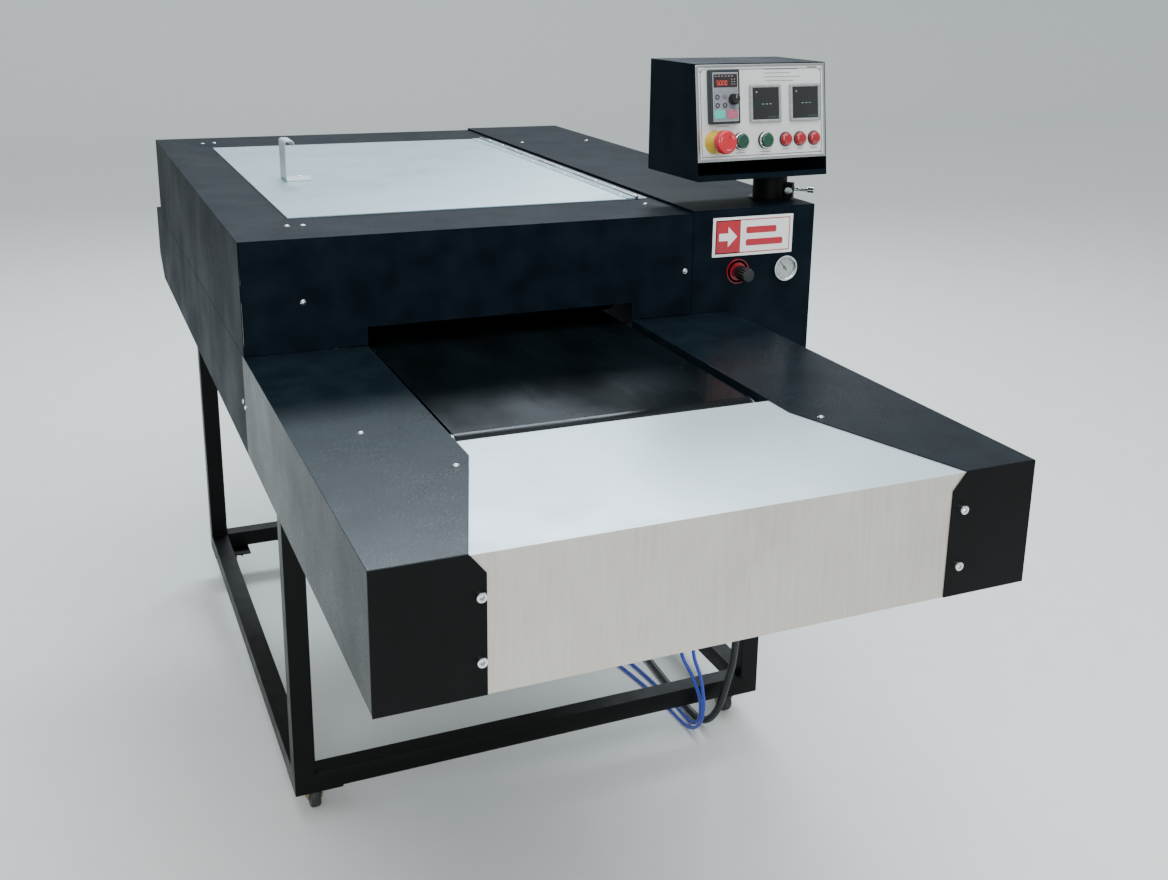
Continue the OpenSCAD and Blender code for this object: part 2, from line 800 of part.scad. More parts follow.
// One end plate seen from the front, for the left arm
module end_plate_outline() {
    polygon([[0, deck_z - table_drop - apron_h], [end_plate_w, deck_z - table_drop - apron_h],
        [end_plate_w, deck_z - end_chamfer - 5], [end_plate_w - end_chamfer, deck_z], [0, deck_z]]);
}

module end_plates() {
    color("#17181a") place() {
        slab_y(0, plate_t) end_plate_outline();
        translate([body_w, 0, 0]) mirror([1, 0, 0]) slab_y(0, plate_t) end_plate_outline();
    }
}

module feed_table() {
    inset = sheet_t + seam_gap;
    color("#bcc0c4") place() slab_x(inset, body_w - 2 * inset) translate([0, deck_z - table_drop])
        polygon([[plate_t, 0], [table_l, 0], [table_l, -sheet_t], [plate_t + sheet_t, -sheet_t],
            [plate_t + sheet_t, -apron_h], [plate_t, -apron_h]]);
}

// The body's outline behind the arms seen from the left, grown inwards by t
module tail_outline(front, t) {
    polygon([[front, under_z + t], [body_end - slope_l, under_z + t],
        [body_end - t, under_z + slope_h], [body_end - t, deck_z - t], [front, deck_z - t]]);
}

module lower_cover() {
    front = seam_y + seam_gap;
    tail_y = hood_end + seam_gap;
    color("#2b2e33") place() {
        slab_x(0, sheet_t) tail_outline(front, 0);
        slab_x(body_w - sheet_t, sheet_t) tail_outline(tail_y, 0);
        difference() {
            slab_x(0, body_w) difference() {
                tail_outline(tail_y, 0);
                tail_outline(tail_y - 1, sheet_t);
                translate([tail_y - 1, under_z - 1])
                    square([body_end - slope_l - tail_y + 1, slope_h]);
            }
            block([in_left, tail_y - 1, deck_z - back_drop], [in_right, body_end + 1, deck_z + 1]);
        }
    }
}

// The folded cover over the top and sides, and the two panels that close its ends
module hood() {
    low = deck_z + seam_gap;
    edge = sheet_t + hood_end_gap;
    color("#2b2e33") place() {
        difference() {
            block([0, hood_y, low], [cab_x, hood_end, hood_top]);
            block([sheet_t, hood_y - 1, low - 1], [cab_x - sheet_t, hood_end + 1, hood_top - sheet_t]);
            block([lid_x + lid_lap, lid_y1 + lid_lap, hood_top - sheet_t - 1],
                [lid_x2 - lid_lap, lid_y2 - lid_lap, hood_top + 1]);
            block([cab_x - sheet_t - 1, hood_y + 30, low - 1], [cab_x + 1, hood_end - 30, low + 150]);
        }
        for (y = [hood_y, hood_end - hood_end_t]) difference() {
            block([edge, y, low], [cab_x - edge, y + hood_end_t, hood_top - edge]);
            block([in_left, y - 1, low - 1], [in_right, y + hood_end_t + 1, deck_z + mouth_h]);
        }
    }
}

module hood_lid() {
    color("#b9c0c8") place() {
        block([lid_x, lid_y1, hood_top], [lid_x2, lid_y2, hood_top + lid_t]);
        block([lid_x2 - leaf_w, lid_y1, hood_top + lid_t],
            [lid_x2, lid_y2, hood_top + lid_t + leaf_t]);
        for (i = [1:2:knuckles - 1]) difference() {
            union() {
                knuckle(i);
                block([lid_x2 - leaf_t, lid_y1 + i * knuckle_l + slip_gap, hood_top + lid_t],
                    [hinge_x, lid_y1 + (i + 1) * knuckle_l - slip_gap, hood_top + lid_t + leaf_t]);
            }
            rod_y(lid_y1 - 1, lid_y2 + 1, hinge_x, hinge_z, hinge_pin_d / 2 + fit_gap);
        }
    }
}

// One barrel of the lid's hinge
module knuckle(i) {
    rod_y(lid_y1 + i * knuckle_l + slip_gap, lid_y1 + (i + 1) * knuckle_l - slip_gap,
        hinge_x, hinge_z, knuckle_d / 2);
}

module lid_hinge() {
    leaf_x = hinge_x + knuckle_d / 2 + slip_gap;
    color("#8b9198") place() {
        rod_y(lid_y1, lid_y2, hinge_x, hinge_z, hinge_pin_d / 2);
        block([leaf_x, lid_y1, hood_top], [leaf_x + leaf_w, lid_y2, hood_top + leaf_t]);
        for (i = [0:2:knuckles - 1]) {
            knuckle(i);
            block([hinge_x, lid_y1 + i * knuckle_l + slip_gap, hood_top],
                [leaf_x, lid_y1 + (i + 1) * knuckle_l - slip_gap, hood_top + leaf_t]);
        }
    }
}

module lid_handle() {
    color("#c3c9cf") place() translate([0, 0, hood_top + lid_t]) {
        block([handle_x, handle_y, 0], [handle_x + handle_foot, handle_y + handle_w, plate_t]);
        block([handle_x, handle_y, 0], [handle_x + plate_t, handle_y + handle_w, handle_h]);
        block([handle_x, handle_y, handle_h - plate_t],
            [handle_x + handle_lip, handle_y + handle_w, handle_h]);
    }
}

module cabinet_shell() {
    back = hood_end - sheet_t;
    floor_x = max(cab_x - 75, plate_out_r + 10);
    color("#2b2e33") place() {
        block([cab_x, hood_y, cab_top - sheet_t], [cab_right, hood_end, cab_top]);
        block([cab_right - sheet_t, hood_y + sheet_t, under_z], [cab_right, hood_end, cab_top]);
        block([cab_x + seam_gap, back, deck_z], [cab_right, hood_end, cab_top]);
        block([body_w + seam_gap, back, under_z], [cab_right, hood_end, deck_z]);
        block([floor_x, hood_y + sheet_t, under_z], [cab_right, hood_end, under_z + sheet_t]);
        block([cab_x + seam_gap, hood_y + sheet_t, hood_top - 20],
            [cab_x + seam_gap + sheet_t, hood_end, cab_top]);
    }
}

module cabinet_front() {
    color("#2b2e33") place() difference() {
        slab_y(hood_y, sheet_t) polygon([[cab_x + seam_gap, deck_z], [body_w + seam_gap, deck_z],
            [body_w + seam_gap, under_z], [cab_right, under_z], [cab_right, cab_top - sheet_t],
            [cab_x + seam_gap, cab_top - sheet_t]]);
        for (x = [reg_x, gauge_x]) rod_y(hood_y - 1, hood_y + 3, x, air_line_z, neck_r + fit_gap);
    }
}

// ---------- control box ----------

// The box's own frame: the post's axis at the box's underside
module at_box() {
    translate([post_x, post_y, box_z]) rotate([0, 0, box_turn]) children();
}

// The panel's own frame: u along +X, v along +Z, outwards along -Y
module at_panel() {
    place() at_box()
        translate([box_left + sheet_t + seam_gap, skirt_h * tan(box_lean) - box_front, skirt_h + seam_gap])
            rotate([-box_lean, 0, 0]) children();
}

// Moves its children to a panel device at u and v
module at_device(u, v) {
    at_panel() translate([u, 0, v]) children();
}

module control_box() {
    front_top = box_h * tan(box_lean) - box_front;
    right = box_left + box_w;
    color("#24262a") place() at_box() difference() {
        slab_x(box_left, box_w)
            polygon([[-box_front, 0], [box_back, 0], [box_back, box_h], [front_top, box_h]]);
        slab_x(box_left + sheet_t, box_w - 2 * sheet_t) polygon([
            [sheet_t - box_front, sheet_t], [box_back - sheet_t, sheet_t],
            [box_back - sheet_t, box_h - sheet_t], [-box_front - 1, box_h - sheet_t],
            [-box_front - 1, skirt_h], [sheet_t - box_front, skirt_h]]);
        translate([(box_left + right) / 2, box_back + 1, box_h / 2]) rotate([90, 0, 0])
            cylinder(h = sheet_t + 2, r = cable_d / 2);
    }
}

module control_panel() {
    color("#e3e4e2") at_panel() difference() {
        union() {
            block([0, 0, 0], [panel_w, panel_t, panel_h]);
            for (u = button_places()) device_barrel(u, row_v, hole_r + 3);
        }
        for (u = concat(button_places(), lamp_places()))
            translate([u, barrel_l + 1, row_v]) rotate([90, 0, 0])
                cylinder(h = barrel_l + 2, r = hole_r);
        for (u = [ctrl1_u, ctrl2_u]) translate([u + (ctrl_side - ctrl_body) / 2 - slip_gap, -1,
            ctrl_v + (ctrl_side - ctrl_body) / 2 - slip_gap])
            cube([ctrl_body + 2 * slip_gap, panel_t + 2, ctrl_body + 2 * slip_gap]);
        translate([knob_u, panel_t + 1, knob_v]) rotate([90, 0, 0])
            cylinder(h = panel_t + 2, r = knob_stem_r + 2);
    }
}

// A switch's guide behind the panel
module device_barrel(u, v, r) {
    translate([u, barrel_l, v]) rotate([90, 0, 0]) cylinder(h = barrel_l, r = r);
}

function button_places() = [stop_u, start_u, heat_u];

function lamp_places() = [lamp1_u, (lamp1_u + lamp3_u) / 2, lamp3_u];

module speed_keypad() {
    color("#4a4c50") at_device(keypad_u, keypad_v) difference() {
        block([0, -keypad_d, 0], [keypad_w, 0, keypad_h]);
        translate([knob_u - keypad_u, 1, knob_v - keypad_v]) rotate([90, 0, 0])
            cylinder(h = keypad_d + 2, r = knob_stem_r + fit_gap);
    }
}

module speed_knob() {
    color("#141416") at_device(knob_u, knob_v) rotate([90, 0, 0]) {
        translate([0, 0, keypad_d + slip_gap]) cylinder(h = 14, r = speed_knob_r);
        cylinder(h = keypad_d + slip_gap, r = knob_stem_r);
    }
}

module temperature_controllers() {
    edge = (ctrl_side - ctrl_body) / 2;
    color("#2f3134") for (u = [ctrl1_u, ctrl2_u]) at_device(u, ctrl_v) {
        block([0, -ctrl_t, 0], [ctrl_side, 0, ctrl_side]);
        block([edge, 0, edge], [edge + ctrl_body, ctrl_depth, edge + ctrl_body]);
    }
}

module stop_button() {
    color("#b4141c") at_device(stop_u, row_v) rotate([90, 0, 0]) rotate_extrude()
        polygon([[0, -stem_in], [stem_r, -stem_in], [stem_r, stop_proud - stop_head_t - 4],
            [stop_r - 4, stop_proud - stop_head_t], [stop_r, stop_proud - stop_head_t + 5],
            [stop_r, stop_proud - 3], [stop_r - 3, stop_proud], [0, stop_proud]]);
}

// A push button's cap with its stem
module push_cap(u) {
    at_device(u, row_v) rotate([90, 0, 0]) {
        translate([0, 0, cap_travel + slip_gap]) cylinder(h = cap_t, r = cap_r);
        translate([0, 0, -stem_in]) cylinder(h = stem_in + cap_travel + slip_gap, r = stem_r);
    }
}

module start_button() { color("#1f9a4c") push_cap(start_u); }

module heat_button() { color("#1f9a4c") push_cap(heat_u); }

module pilot_lamps() {
    color("#b32020") for (u = lamp_places()) at_device(u, row_v) rotate([90, 0, 0])
        rotate_extrude() polygon([[0, -stem_in], [stem_r, -stem_in], [stem_r, 0], [lamp_r, 0],
            [lamp_r, lamp_t - 4], [lamp_r - 3, lamp_t], [0, lamp_t]]);
}

module post() {
    color("#8d9196") place() translate([post_x, post_y, cab_top]) {
        cylinder(h = box_lift - 2, r = post_r);
        cylinder(h = plate_t, r = sleeve_r + 8);
    }
}

// The frame of the clamp's bolt: z along the bolt, x outwards from the post
module at_clamp() {
    place() at_box() translate([0, 0, lever_z - box_lift]) rotate([0, 0, clamp_angle - box_turn])
        translate([sleeve_r + ear_l / 2, 0, 0]) rotate([-90, 0, 0]) children();
}

module post_sleeve() {
    low = plate_t + slip_gap - box_lift;
    half = slit_w / 2;
    color("#1d1e21") difference() {
        union() {
            place() at_box() translate([0, 0, low]) cylinder(h = -low, r = sleeve_r);
            at_clamp() block([-ear_l, -ear_h / 2, -half - ear_t], [ear_l / 2, ear_h / 2, half + ear_t]);
        }
        place() at_box() translate([0, 0, low - 1]) cylinder(h = -low + 2, r = post_r + fit_gap);
        at_clamp() {
            block([-ear_l - 8, low - 5, -half], [ear_l, -low, half]);
            translate([0, 0, -half - ear_t - 1])
                cylinder(h = slit_w + 2 * ear_t + 2, r = bolt_r + fit_gap);
        }
    }
}

module clamp_lever() {
    out = slit_w / 2 + ear_t + slip_gap;
    color("#c9ccd0") at_clamp() {
        translate([0, 0, -out - 4]) cylinder(h = 2 * out + 4, r = bolt_r);
        translate([0, 0, -out - 6]) cylinder(h = 6, r = bolt_r + 3);
        translate([0, 0, out]) cylinder(h = 12, r = bolt_r + 4);
        translate([0, 0, out + 6]) rotate([0, 90, 0]) {
            cylinder(h = lever_l, r = 3.5);
            translate([0, 0, lever_l]) cylinder(h = 2 * grip_r, r = grip_r);
        }
    }
}

// ---------- air controls ----------

module regulator_body() {
    color("#b8242a") place() {
        rod_y(hood_y - ring_t, hood_y, reg_x, air_line_z, ring_r);
        rod_y(hood_y, hood_y + sheet_t, reg_x, air_line_z, neck_r);
        rod_y(hood_y + sheet_t, hood_y + 60, reg_x, air_line_z, ring_r);
        rod_y(hood_y - ring_t - reg_knob_l + 8, hood_y - ring_t, reg_x, air_line_z, reg_stem_r);
        translate([reg_x, hood_y + 30, air_line_z - 70]) cylinder(h = 70, r = ring_r - 4);
    }
}

module regulator_knob() {
    front = hood_y - ring_t - slip_gap;
    color("#121214") place() difference() {
        rod_y(front - reg_knob_l, front, reg_x, air_line_z, reg_knob_r);
        rod_y(front - reg_knob_l + 7, front + 1, reg_x, air_line_z, reg_stem_r + fit_gap);
    }
}

module gauge_case() {
    color("#c9ccd0") place() {
        difference() {
            rod_y(hood_y - gauge_t, hood_y, gauge_x, air_line_z, gauge_r);
            rod_y(hood_y - gauge_t - 1, hood_y - dial_t, gauge_x, air_line_z, gauge_r - gauge_rim);
        }
        rod_y(hood_y - dial_t - needle_t - 1, hood_y - dial_t, gauge_x, air_line_z, gauge_pin_r);
        rod_y(hood_y, hood_y + 30, gauge_x, air_line_z, neck_r);
    }
}

module gauge_needle() {
    color("#15161a") place() translate([gauge_x, hood_y - dial_t - slip_gap, air_line_z])
        rotate([90, 0, 0]) linear_extrude(needle_t) difference() {
            union() {
                circle(3);
                rotate(needle_rest) polygon([[-1.2, -7], [1.2, -7], [0.5, gauge_r - 7], [-0.5, gauge_r - 7]]);
            }
            circle(gauge_pin_r + fit_gap);
        }
}

// ---------- fixings, glands and cords ----------

// A socket head screw: its head stands on the origin and its shank runs to -Z
module socket_screw() {
    cylinder(h = head_t, r = head_r);
    translate([0, 0, -shank_l]) cylinder(h = shank_l, r = shank_r);
}

// A low round head screw for sheet metal
module sheet_screw() {
    cylinder(h = 2, r = 5);
    cylinder(h = 3, r = 3.5);
    translate([0, 0, -sheet_t - 4]) cylinder(h = sheet_t + 4, r = 2);
}

module cover_screws() {
    color("#cfd2d6") place() {
        for (x = plate_bolt_x, z = plate_bolt_z)
            translate([x, 0, deck_z + z]) rotate([90, 0, 0]) socket_screw();
        for (p = front_screws) translate([p[0], hood_y, deck_z + p[1]]) rotate([90, 0, 0]) sheet_screw();
        for (p = side_bolts) translate([0, p[0], deck_z + p[1]]) rotate([0, -90, 0]) sheet_screw();
        for (p = arm_screws) translate([p[0], p[1], deck_z]) sheet_screw();
        for (p = top_screws) translate([p[0], p[1], hood_top]) sheet_screw();
        for (p = cab_screws) translate([p[0], p[1], cab_top]) sheet_screw();
    }
}

// A hose fitting, hanging from the cabinet's underside
module hose_fitting(at) {
    translate([at[0], at[1], at[2]]) cylinder(h = fitting_l, r = hose_d / 2 + 3);
    translate([at[0], at[1], under_z - 6]) cylinder(h = 6, r = hose_d / 2 + 5, $fn = 6);
}

module glands() {
    at = cable_path[0];
    color("#2a2b2e") place() {
        hose_fitting(hose_left_path[0]);
        hose_fitting(hose_right_path[0]);
        translate([at[0], at[1], under_z - gland_l]) cylinder(h = gland_l, r = cable_d / 2 + 6);
        translate(at) rotate_extrude() polygon([[0, 0], [cable_d / 2 + 1, 0],
            [cable_d / 2 + 4, relief_l], [0, relief_l]]);
    }
}

module air_hose_left() { color("#2243b8") place() cord(hose_left_path, hose_d); }

module air_hose_right() { color("#2243b8") place() cord(hose_right_path, hose_d); }

module mains_cable() { color("#141416") place() cord(cable_path, cable_d); }

module mains_coil() {
    color("#141416") place() translate([coil_x, coil_y, 0]) rotate_extrude()
        translate([coil_mean_r - coil_layer / 2, 0]) square([coil_layer, 2 * cable_d]);
}

module mains_plug() {
    color("#1b1b1d") place()
        translate([coil_x + coil_mean_r + cable_d, coil_y + plug_shift, plug_r])
            rotate([-90, 0, 0]) {
                rotate_extrude() polygon([[0, 0], [cable_d / 2 + 1, 0], [plug_r - 8, plug_tail],
                    [plug_r, plug_tail + 8], [plug_r, plug_tail + plug_l], [0, plug_tail + plug_l]]);
                for (a = [0:120:240]) rotate([0, 0, a]) translate([0, 11, plug_tail + plug_l])
                    cylinder(h = 20, r = 3);
            }
}

// ---------- parts ----------

base_frame();
caster_tops();
caster_fork("fl");  // caster_fork_fl
caster_fork("fr");  // caster_fork_fr
caster_fork("rl");  // caster_fork_rl
caster_fork("rr");  // caster_fork_rr
caster_wheel("fl");  // caster_wheel_fl
caster_wheel("fr");  // caster_wheel_fr
caster_wheel("rl");  // caster_wheel_rl
caster_wheel("rr");  // caster_wheel_rr
conveyor_frame();
roller_bearings();
lower_belt();
upper_belt();
front_roller();
rear_roller();
upper_front_roller();
upper_rear_roller();
counter_roller();
press_roller();
press_carriage();
press_cylinders();
heater_plates();
gear_motor();
motor_sprocket();
drive_chain();
arm_cover_left();
arm_cover_right();
end_plates();
feed_table();
lower_cover();
hood();
hood_lid();
lid_handle();
lid_hinge();
cabinet_shell();
cabinet_front();
control_box();
control_panel();
speed_keypad();
speed_knob();
temperature_controllers();
stop_button();
start_button();
heat_button();
pilot_lamps();
post();
post_sleeve();
clamp_lever();
regulator_body();
regulator_knob();
gauge_case();
gauge_needle();
cover_screws();
glands();
air_hose_left();
air_hose_right();
mains_cable();
mains_coil();
mains_plug();
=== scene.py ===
"""Looks of a conveyor heat press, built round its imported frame.

Every length is in metres in the frame's own axes: +Z up, +Y from the feed table to the rear.
Places come from the frame's boxes and joints, through Datum and PanelFrame.
"""

import json
import logging
import math
from dataclasses import dataclass
from enum import Enum
from typing import Any, Callable, Iterable, Sequence

import bmesh
import bpy
import numpy as np
from mathutils import Matrix, Vector

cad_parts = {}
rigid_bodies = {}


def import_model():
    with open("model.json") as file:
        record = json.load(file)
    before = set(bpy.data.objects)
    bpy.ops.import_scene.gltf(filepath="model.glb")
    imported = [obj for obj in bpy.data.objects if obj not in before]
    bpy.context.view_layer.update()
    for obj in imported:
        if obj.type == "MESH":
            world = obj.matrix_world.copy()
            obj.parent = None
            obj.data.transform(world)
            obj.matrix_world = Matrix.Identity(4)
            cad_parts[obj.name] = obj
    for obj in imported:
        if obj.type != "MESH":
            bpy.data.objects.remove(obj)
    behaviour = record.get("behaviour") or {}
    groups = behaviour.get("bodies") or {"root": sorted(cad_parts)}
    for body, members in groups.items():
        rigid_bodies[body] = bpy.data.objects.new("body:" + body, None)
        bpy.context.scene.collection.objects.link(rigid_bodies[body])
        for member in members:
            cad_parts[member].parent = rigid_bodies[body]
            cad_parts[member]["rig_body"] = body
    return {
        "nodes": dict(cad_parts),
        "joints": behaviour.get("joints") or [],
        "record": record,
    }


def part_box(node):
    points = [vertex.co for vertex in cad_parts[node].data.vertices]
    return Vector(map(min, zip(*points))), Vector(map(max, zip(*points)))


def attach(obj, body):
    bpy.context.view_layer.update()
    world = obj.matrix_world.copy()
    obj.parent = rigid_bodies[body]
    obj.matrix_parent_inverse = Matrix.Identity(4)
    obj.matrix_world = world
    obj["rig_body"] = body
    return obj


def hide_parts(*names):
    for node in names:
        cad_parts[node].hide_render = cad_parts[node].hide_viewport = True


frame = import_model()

LOG = logging.getLogger("heat_press")
MM = 0.001
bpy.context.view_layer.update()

Socket = bpy.types.NodeSocket
Array = np.ndarray


# ---------- colours, nodes and meshes ----------


def linear(code: str) -> tuple[float, float, float, float]:
    """Turns an sRGB hex colour into linear RGBA.

    Args:
        code: six hex digits, with or without a leading mark.

    Returns:
        Linear red, green and blue, with an alpha of 1.
    """
    digits = code.lstrip("#")
    srgb = np.array([int(digits[i : i + 2], 16) for i in (0, 2, 4)]) / 255
    low = srgb / 12.92
    high = ((srgb + 0.055) / 1.055) ** 2.4
    value = np.where(srgb <= 0.04045, low, high)
    return (float(value[0]), float(value[1]), float(value[2]), 1.0)


def per_metre(size_mm: float) -> float:
    """A texture's scale, in repeats per metre, for a feature of that size in millimetres."""
    return 1000 / size_mm


def add(
    tree: bpy.types.NodeTree, kind: str, inputs: dict[Any, Any] | None = None, **settings: Any
) -> bpy.types.Node:
    """Adds one node, sets its properties, and fills or links its inputs.

    Args:
        tree: the material's node tree.
        kind: the node's type name.
        inputs: input name or number to a value, or to the socket that feeds it.
        settings: properties of the node itself.

    Returns:
        The new node.
    """
    node = tree.nodes.new(kind)
    for key, value in settings.items():
        setattr(node, key, value)
    for key, value in (inputs or {}).items():
        if isinstance(value, Socket):
            tree.links.new(value, node.inputs[key])
        else:
            node.inputs[key].default_value = value
    return node


def link_mesh(
    name: str, vertices: Array, faces: Sequence[Sequence[int]], sharp_deg: float = 35
) -> bpy.types.Object:
    """Makes an object from points and faces, merges its doubles and points its faces outwards.

    Args:
        name: the object's name.
        vertices: an array of points, n by 3.
        faces: the vertex numbers of each face.
        sharp_deg: edges that turn by more than this stay sharp.

    Returns:
        The object, linked into the scene at the origin.
    """
    mesh = bpy.data.meshes.new(name)
    mesh.from_pydata(np.asarray(vertices, float).reshape(-1, 3).tolist(), [], [list(f) for f in faces])
    tidy_mesh(mesh, sharp_deg)
    made = bpy.data.objects.new(name, mesh)
    bpy.context.scene.collection.objects.link(made)
    return made


class Flats(Enum):
    """How far the triangles of a flat face are joined."""

    WHOLE = "whole"
    PAIRS = "pairs"
    NONE = "none"


def drawn_area(mesh: bpy.types.Mesh) -> float:
    """The area of the triangles that a mesh is drawn with, in square metres."""
    mesh.calc_loop_triangles()
    corners = np.empty(len(mesh.loop_triangles) * 3, np.int32)
    mesh.loop_triangles.foreach_get("vertices", corners)
    points = np.empty(len(mesh.vertices) * 3)
    mesh.vertices.foreach_get("co", points)
    first, second, third = points.reshape(-1, 3)[corners].reshape(-1, 3, 3).transpose(1, 0, 2)
    return float(np.linalg.norm(np.cross(second - first, third - first), axis=1).sum() / 2)


def tidy_mesh(mesh: bpy.types.Mesh, sharp_deg: float, flats: Flats = Flats.NONE) -> None:
    """Merges doubles, points faces outwards and sets smooth shading with sharp edges.

    Args:
        mesh: the mesh to tidy.
        sharp_deg: edges that turn by more than this stay sharp.
        flats: how far the triangles of a flat face are joined.
    """
    work = bmesh.new()
    work.from_mesh(mesh)
    bmesh.ops.remove_doubles(work, verts=work.verts, dist=2e-6)
    bmesh.ops.dissolve_degenerate(work, edges=work.edges, dist=1e-6)
    flat = math.radians(0.4)
    if flats is Flats.WHOLE:
        bmesh.ops.dissolve_limit(work, angle_limit=flat, verts=work.verts, edges=work.edges)
    elif flats is Flats.PAIRS:
        bmesh.ops.join_triangles(
            work, faces=work.faces, angle_face_threshold=flat, angle_shape_threshold=math.pi
        )
    bmesh.ops.recalc_face_normals(work, faces=work.faces)
    work.to_mesh(mesh)
    work.free()
    mesh.shade_smooth()
    mesh.set_sharp_from_angle(angle=math.radians(sharp_deg))


def grid_faces(rows: int, columns: int, wrap: bool = True) -> Array:
    """Quads of a grid of points stored row by row.

    Args:
        rows: number of rows.
        columns: number of points in a row.
        wrap: whether each row closes on itself.

    Returns:
        An array of quads, n by 4.
    """
    width = columns if wrap else columns - 1
    row, column = np.meshgrid(np.arange(rows - 1), np.arange(width), indexing="ij")
    beside = (column + 1) % columns
    corners = [
        row * columns + column, row * columns + beside, (row + 1) * columns + beside,
        (row + 1) * columns + column
    ]
    return np.stack(corners, -1).reshape(-1, 4)


def shell(name: str, rings: Array, closed: bool = False, sharp_deg: float = 35) -> bpy.types.Object:
    """A closed surface through rings of points, with flat ends or joined round on itself.

    Args:
        name: the object's name.
        rings: points, rings by points round by 3.
        closed: join the last ring to the first in place of flat ends.
        sharp_deg: edges that turn by more than this stay sharp.

    Returns:
        The object.
    """
    rings = np.asarray(rings, float)
    if closed:
        rings = np.concatenate([rings, rings[:1]])
    rows, columns = rings.shape[:2]
    faces = grid_faces(rows, columns).tolist()
    if not closed:
        faces += [list(range(columns))[::-1], list(range((rows - 1) * columns, rows * columns))]
    return link_mesh(name, rings.reshape(-1, 3), faces, sharp_deg)


def rounded_outline(width: float, height: float, radius: float, steps: int = 6) -> Array:
    """A rectangle centred on the origin with a quarter circle of that radius at each corner.

    Returns:
        Points anticlockwise, 4 * steps by 2.
    """
    radius = max(min(radius, width / 2, height / 2), 1e-6)
    turn = np.linspace(0, math.pi / 2, steps)
    quarter = np.arange(4)[:, None] * math.pi / 2
    arc = radius * np.stack([np.cos(turn + quarter), np.sin(turn + quarter)], -1)
    side = np.array([[1, 1], [-1, 1], [-1, -1], [1, -1]]) * (np.array([width, height]) / 2 - radius)
    return (arc + side[:, None]).reshape(-1, 2)


def frame_rings(width: float, height: float, corner: float, profile: Array) -> Array:
    """Rounded rectangles stacked along z, each drawn in by the profile's first value.

    Args:
        width: outer width.
        height: outer height.
        corner: outer corner radius.
        profile: (inset, z) for each ring.

    Returns:
        Rings of points, for shell().
    """
    rings = []
    for inset, level in profile:
        flat = rounded_outline(width - 2 * inset, height - 2 * inset, corner - inset)
        rings.append(np.column_stack([flat, np.full(len(flat), level)]))
    return np.array(rings)


def round_edge(height: float, edge: float, steps: int = 4) -> Array:
    """The (inset, z) profile of a block with a rounded top edge: a straight wall, then a quarter circle."""
    turn = np.linspace(0, math.pi / 2, steps)
    arc = np.column_stack([edge * (1 - np.cos(turn)), height - edge + edge * np.sin(turn)])
    return np.vstack([[0, 0], arc])


def block_rings(width: float, height: float, depth: float, corner: float, edge: float) -> Array:
    """Rings of a block with rounded corners and a rounded top edge, rising along z."""
    return frame_rings(width, height, corner, round_edge(depth, edge))


def lathe_rings(
    profile: Iterable[Sequence[float]], steps: int = 48, wave: float = 0, lobes: int = 0
) -> Array:
    """Rings of a turned shape about z: each profile point (radius, z) goes round in a circle.

    Args:
        profile: (radius, z) points in order.
        steps: points round.
        wave: depth of the flutes round the side.
        lobes: number of flutes.

    Returns:
        Rings of points, for shell().
    """
    points = np.asarray(list(profile), float)
    turn = np.linspace(0, 2 * math.pi, steps, endpoint=False)
    ripple = wave * 0.5 * (1 + np.cos(lobes * turn))[None, :] if lobes else 0
    radius = np.maximum(points[:, :1] - ripple * (points[:, :1] > 0.6 * points[:, 0].max()), 1e-6)
    level = np.broadcast_to(points[:, 1:], (len(points), steps))
    return np.stack([radius * np.cos(turn), radius * np.sin(turn), level], -1)


def swept_rings(path: Array, radius: float | Array, sides: int = 8) -> Array:
    """Rings of a tube along a path: at each point a circle across the path's direction.

    Args:
        path: points, n by 3.
        radius: one radius, or one for each point.
        sides: points round.

    Returns:
        Rings of points, for shell().
    """
    along = np.gradient(path, axis=0)
    along /= np.linalg.norm(along, axis=1)[:, None]
    guide = np.array([0.13, 0.27, 0.95])
    across = np.cross(along, guide)
    across /= np.linalg.norm(across, axis=1)[:, None]
    other = np.cross(along, across)
    turn = np.linspace(0, 2 * math.pi, sides, endpoint=False)
    size = np.broadcast_to(np.asarray(radius, float), (len(path),))[:, None, None]
    circle = np.cos(turn)[None, :, None] * across[:, None] + np.sin(turn)[None, :, None] * other[:, None]
    return path[:, None] + size * circle


def bent_strip(corners: Array, thickness: float, bend: float, steps: int = 6) -> Array:
    """The outline of a folded strip: straight runs joined by arcs, offset half a thickness each way.

    Args:
        corners: the strip's middle line, n by 2.
        thickness: sheet thickness.
        bend: radius of the middle line at each fold.
        steps: points in each arc.

    Returns:
        A closed outline, m by 2.
    """
    line = [corners[0]]
    for before, at, after in zip(corners[:-2], corners[1:-1], corners[2:]):
        leave = (before - at) / np.linalg.norm(before - at)
        reach = (after - at) / np.linalg.norm(after - at)
        half = math.acos(float(np.clip(leave @ reach, -1, 1))) / 2
        centre = at + (leave + reach) / np.linalg.norm(leave + reach) * bend / math.sin(half)
        first = at + leave * bend / math.tan(half) - centre
        last = at + reach * bend / math.tan(half) - centre
        share = np.linspace(0, 1, steps)[:, None]
        arc = (1 - share) * first + share * last
        line.extend(centre + arc / np.linalg.norm(arc, axis=1)[:, None] * bend)
    line.append(corners[-1])
    middle = np.array(line)
    along = np.gradient(middle, axis=0)
    normal = np.column_stack([-along[:, 1], along[:, 0]])
    normal /= np.linalg.norm(normal, axis=1)[:, None]
    return np.vstack([middle + normal * thickness / 2, (middle - normal * thickness / 2)[::-1]])


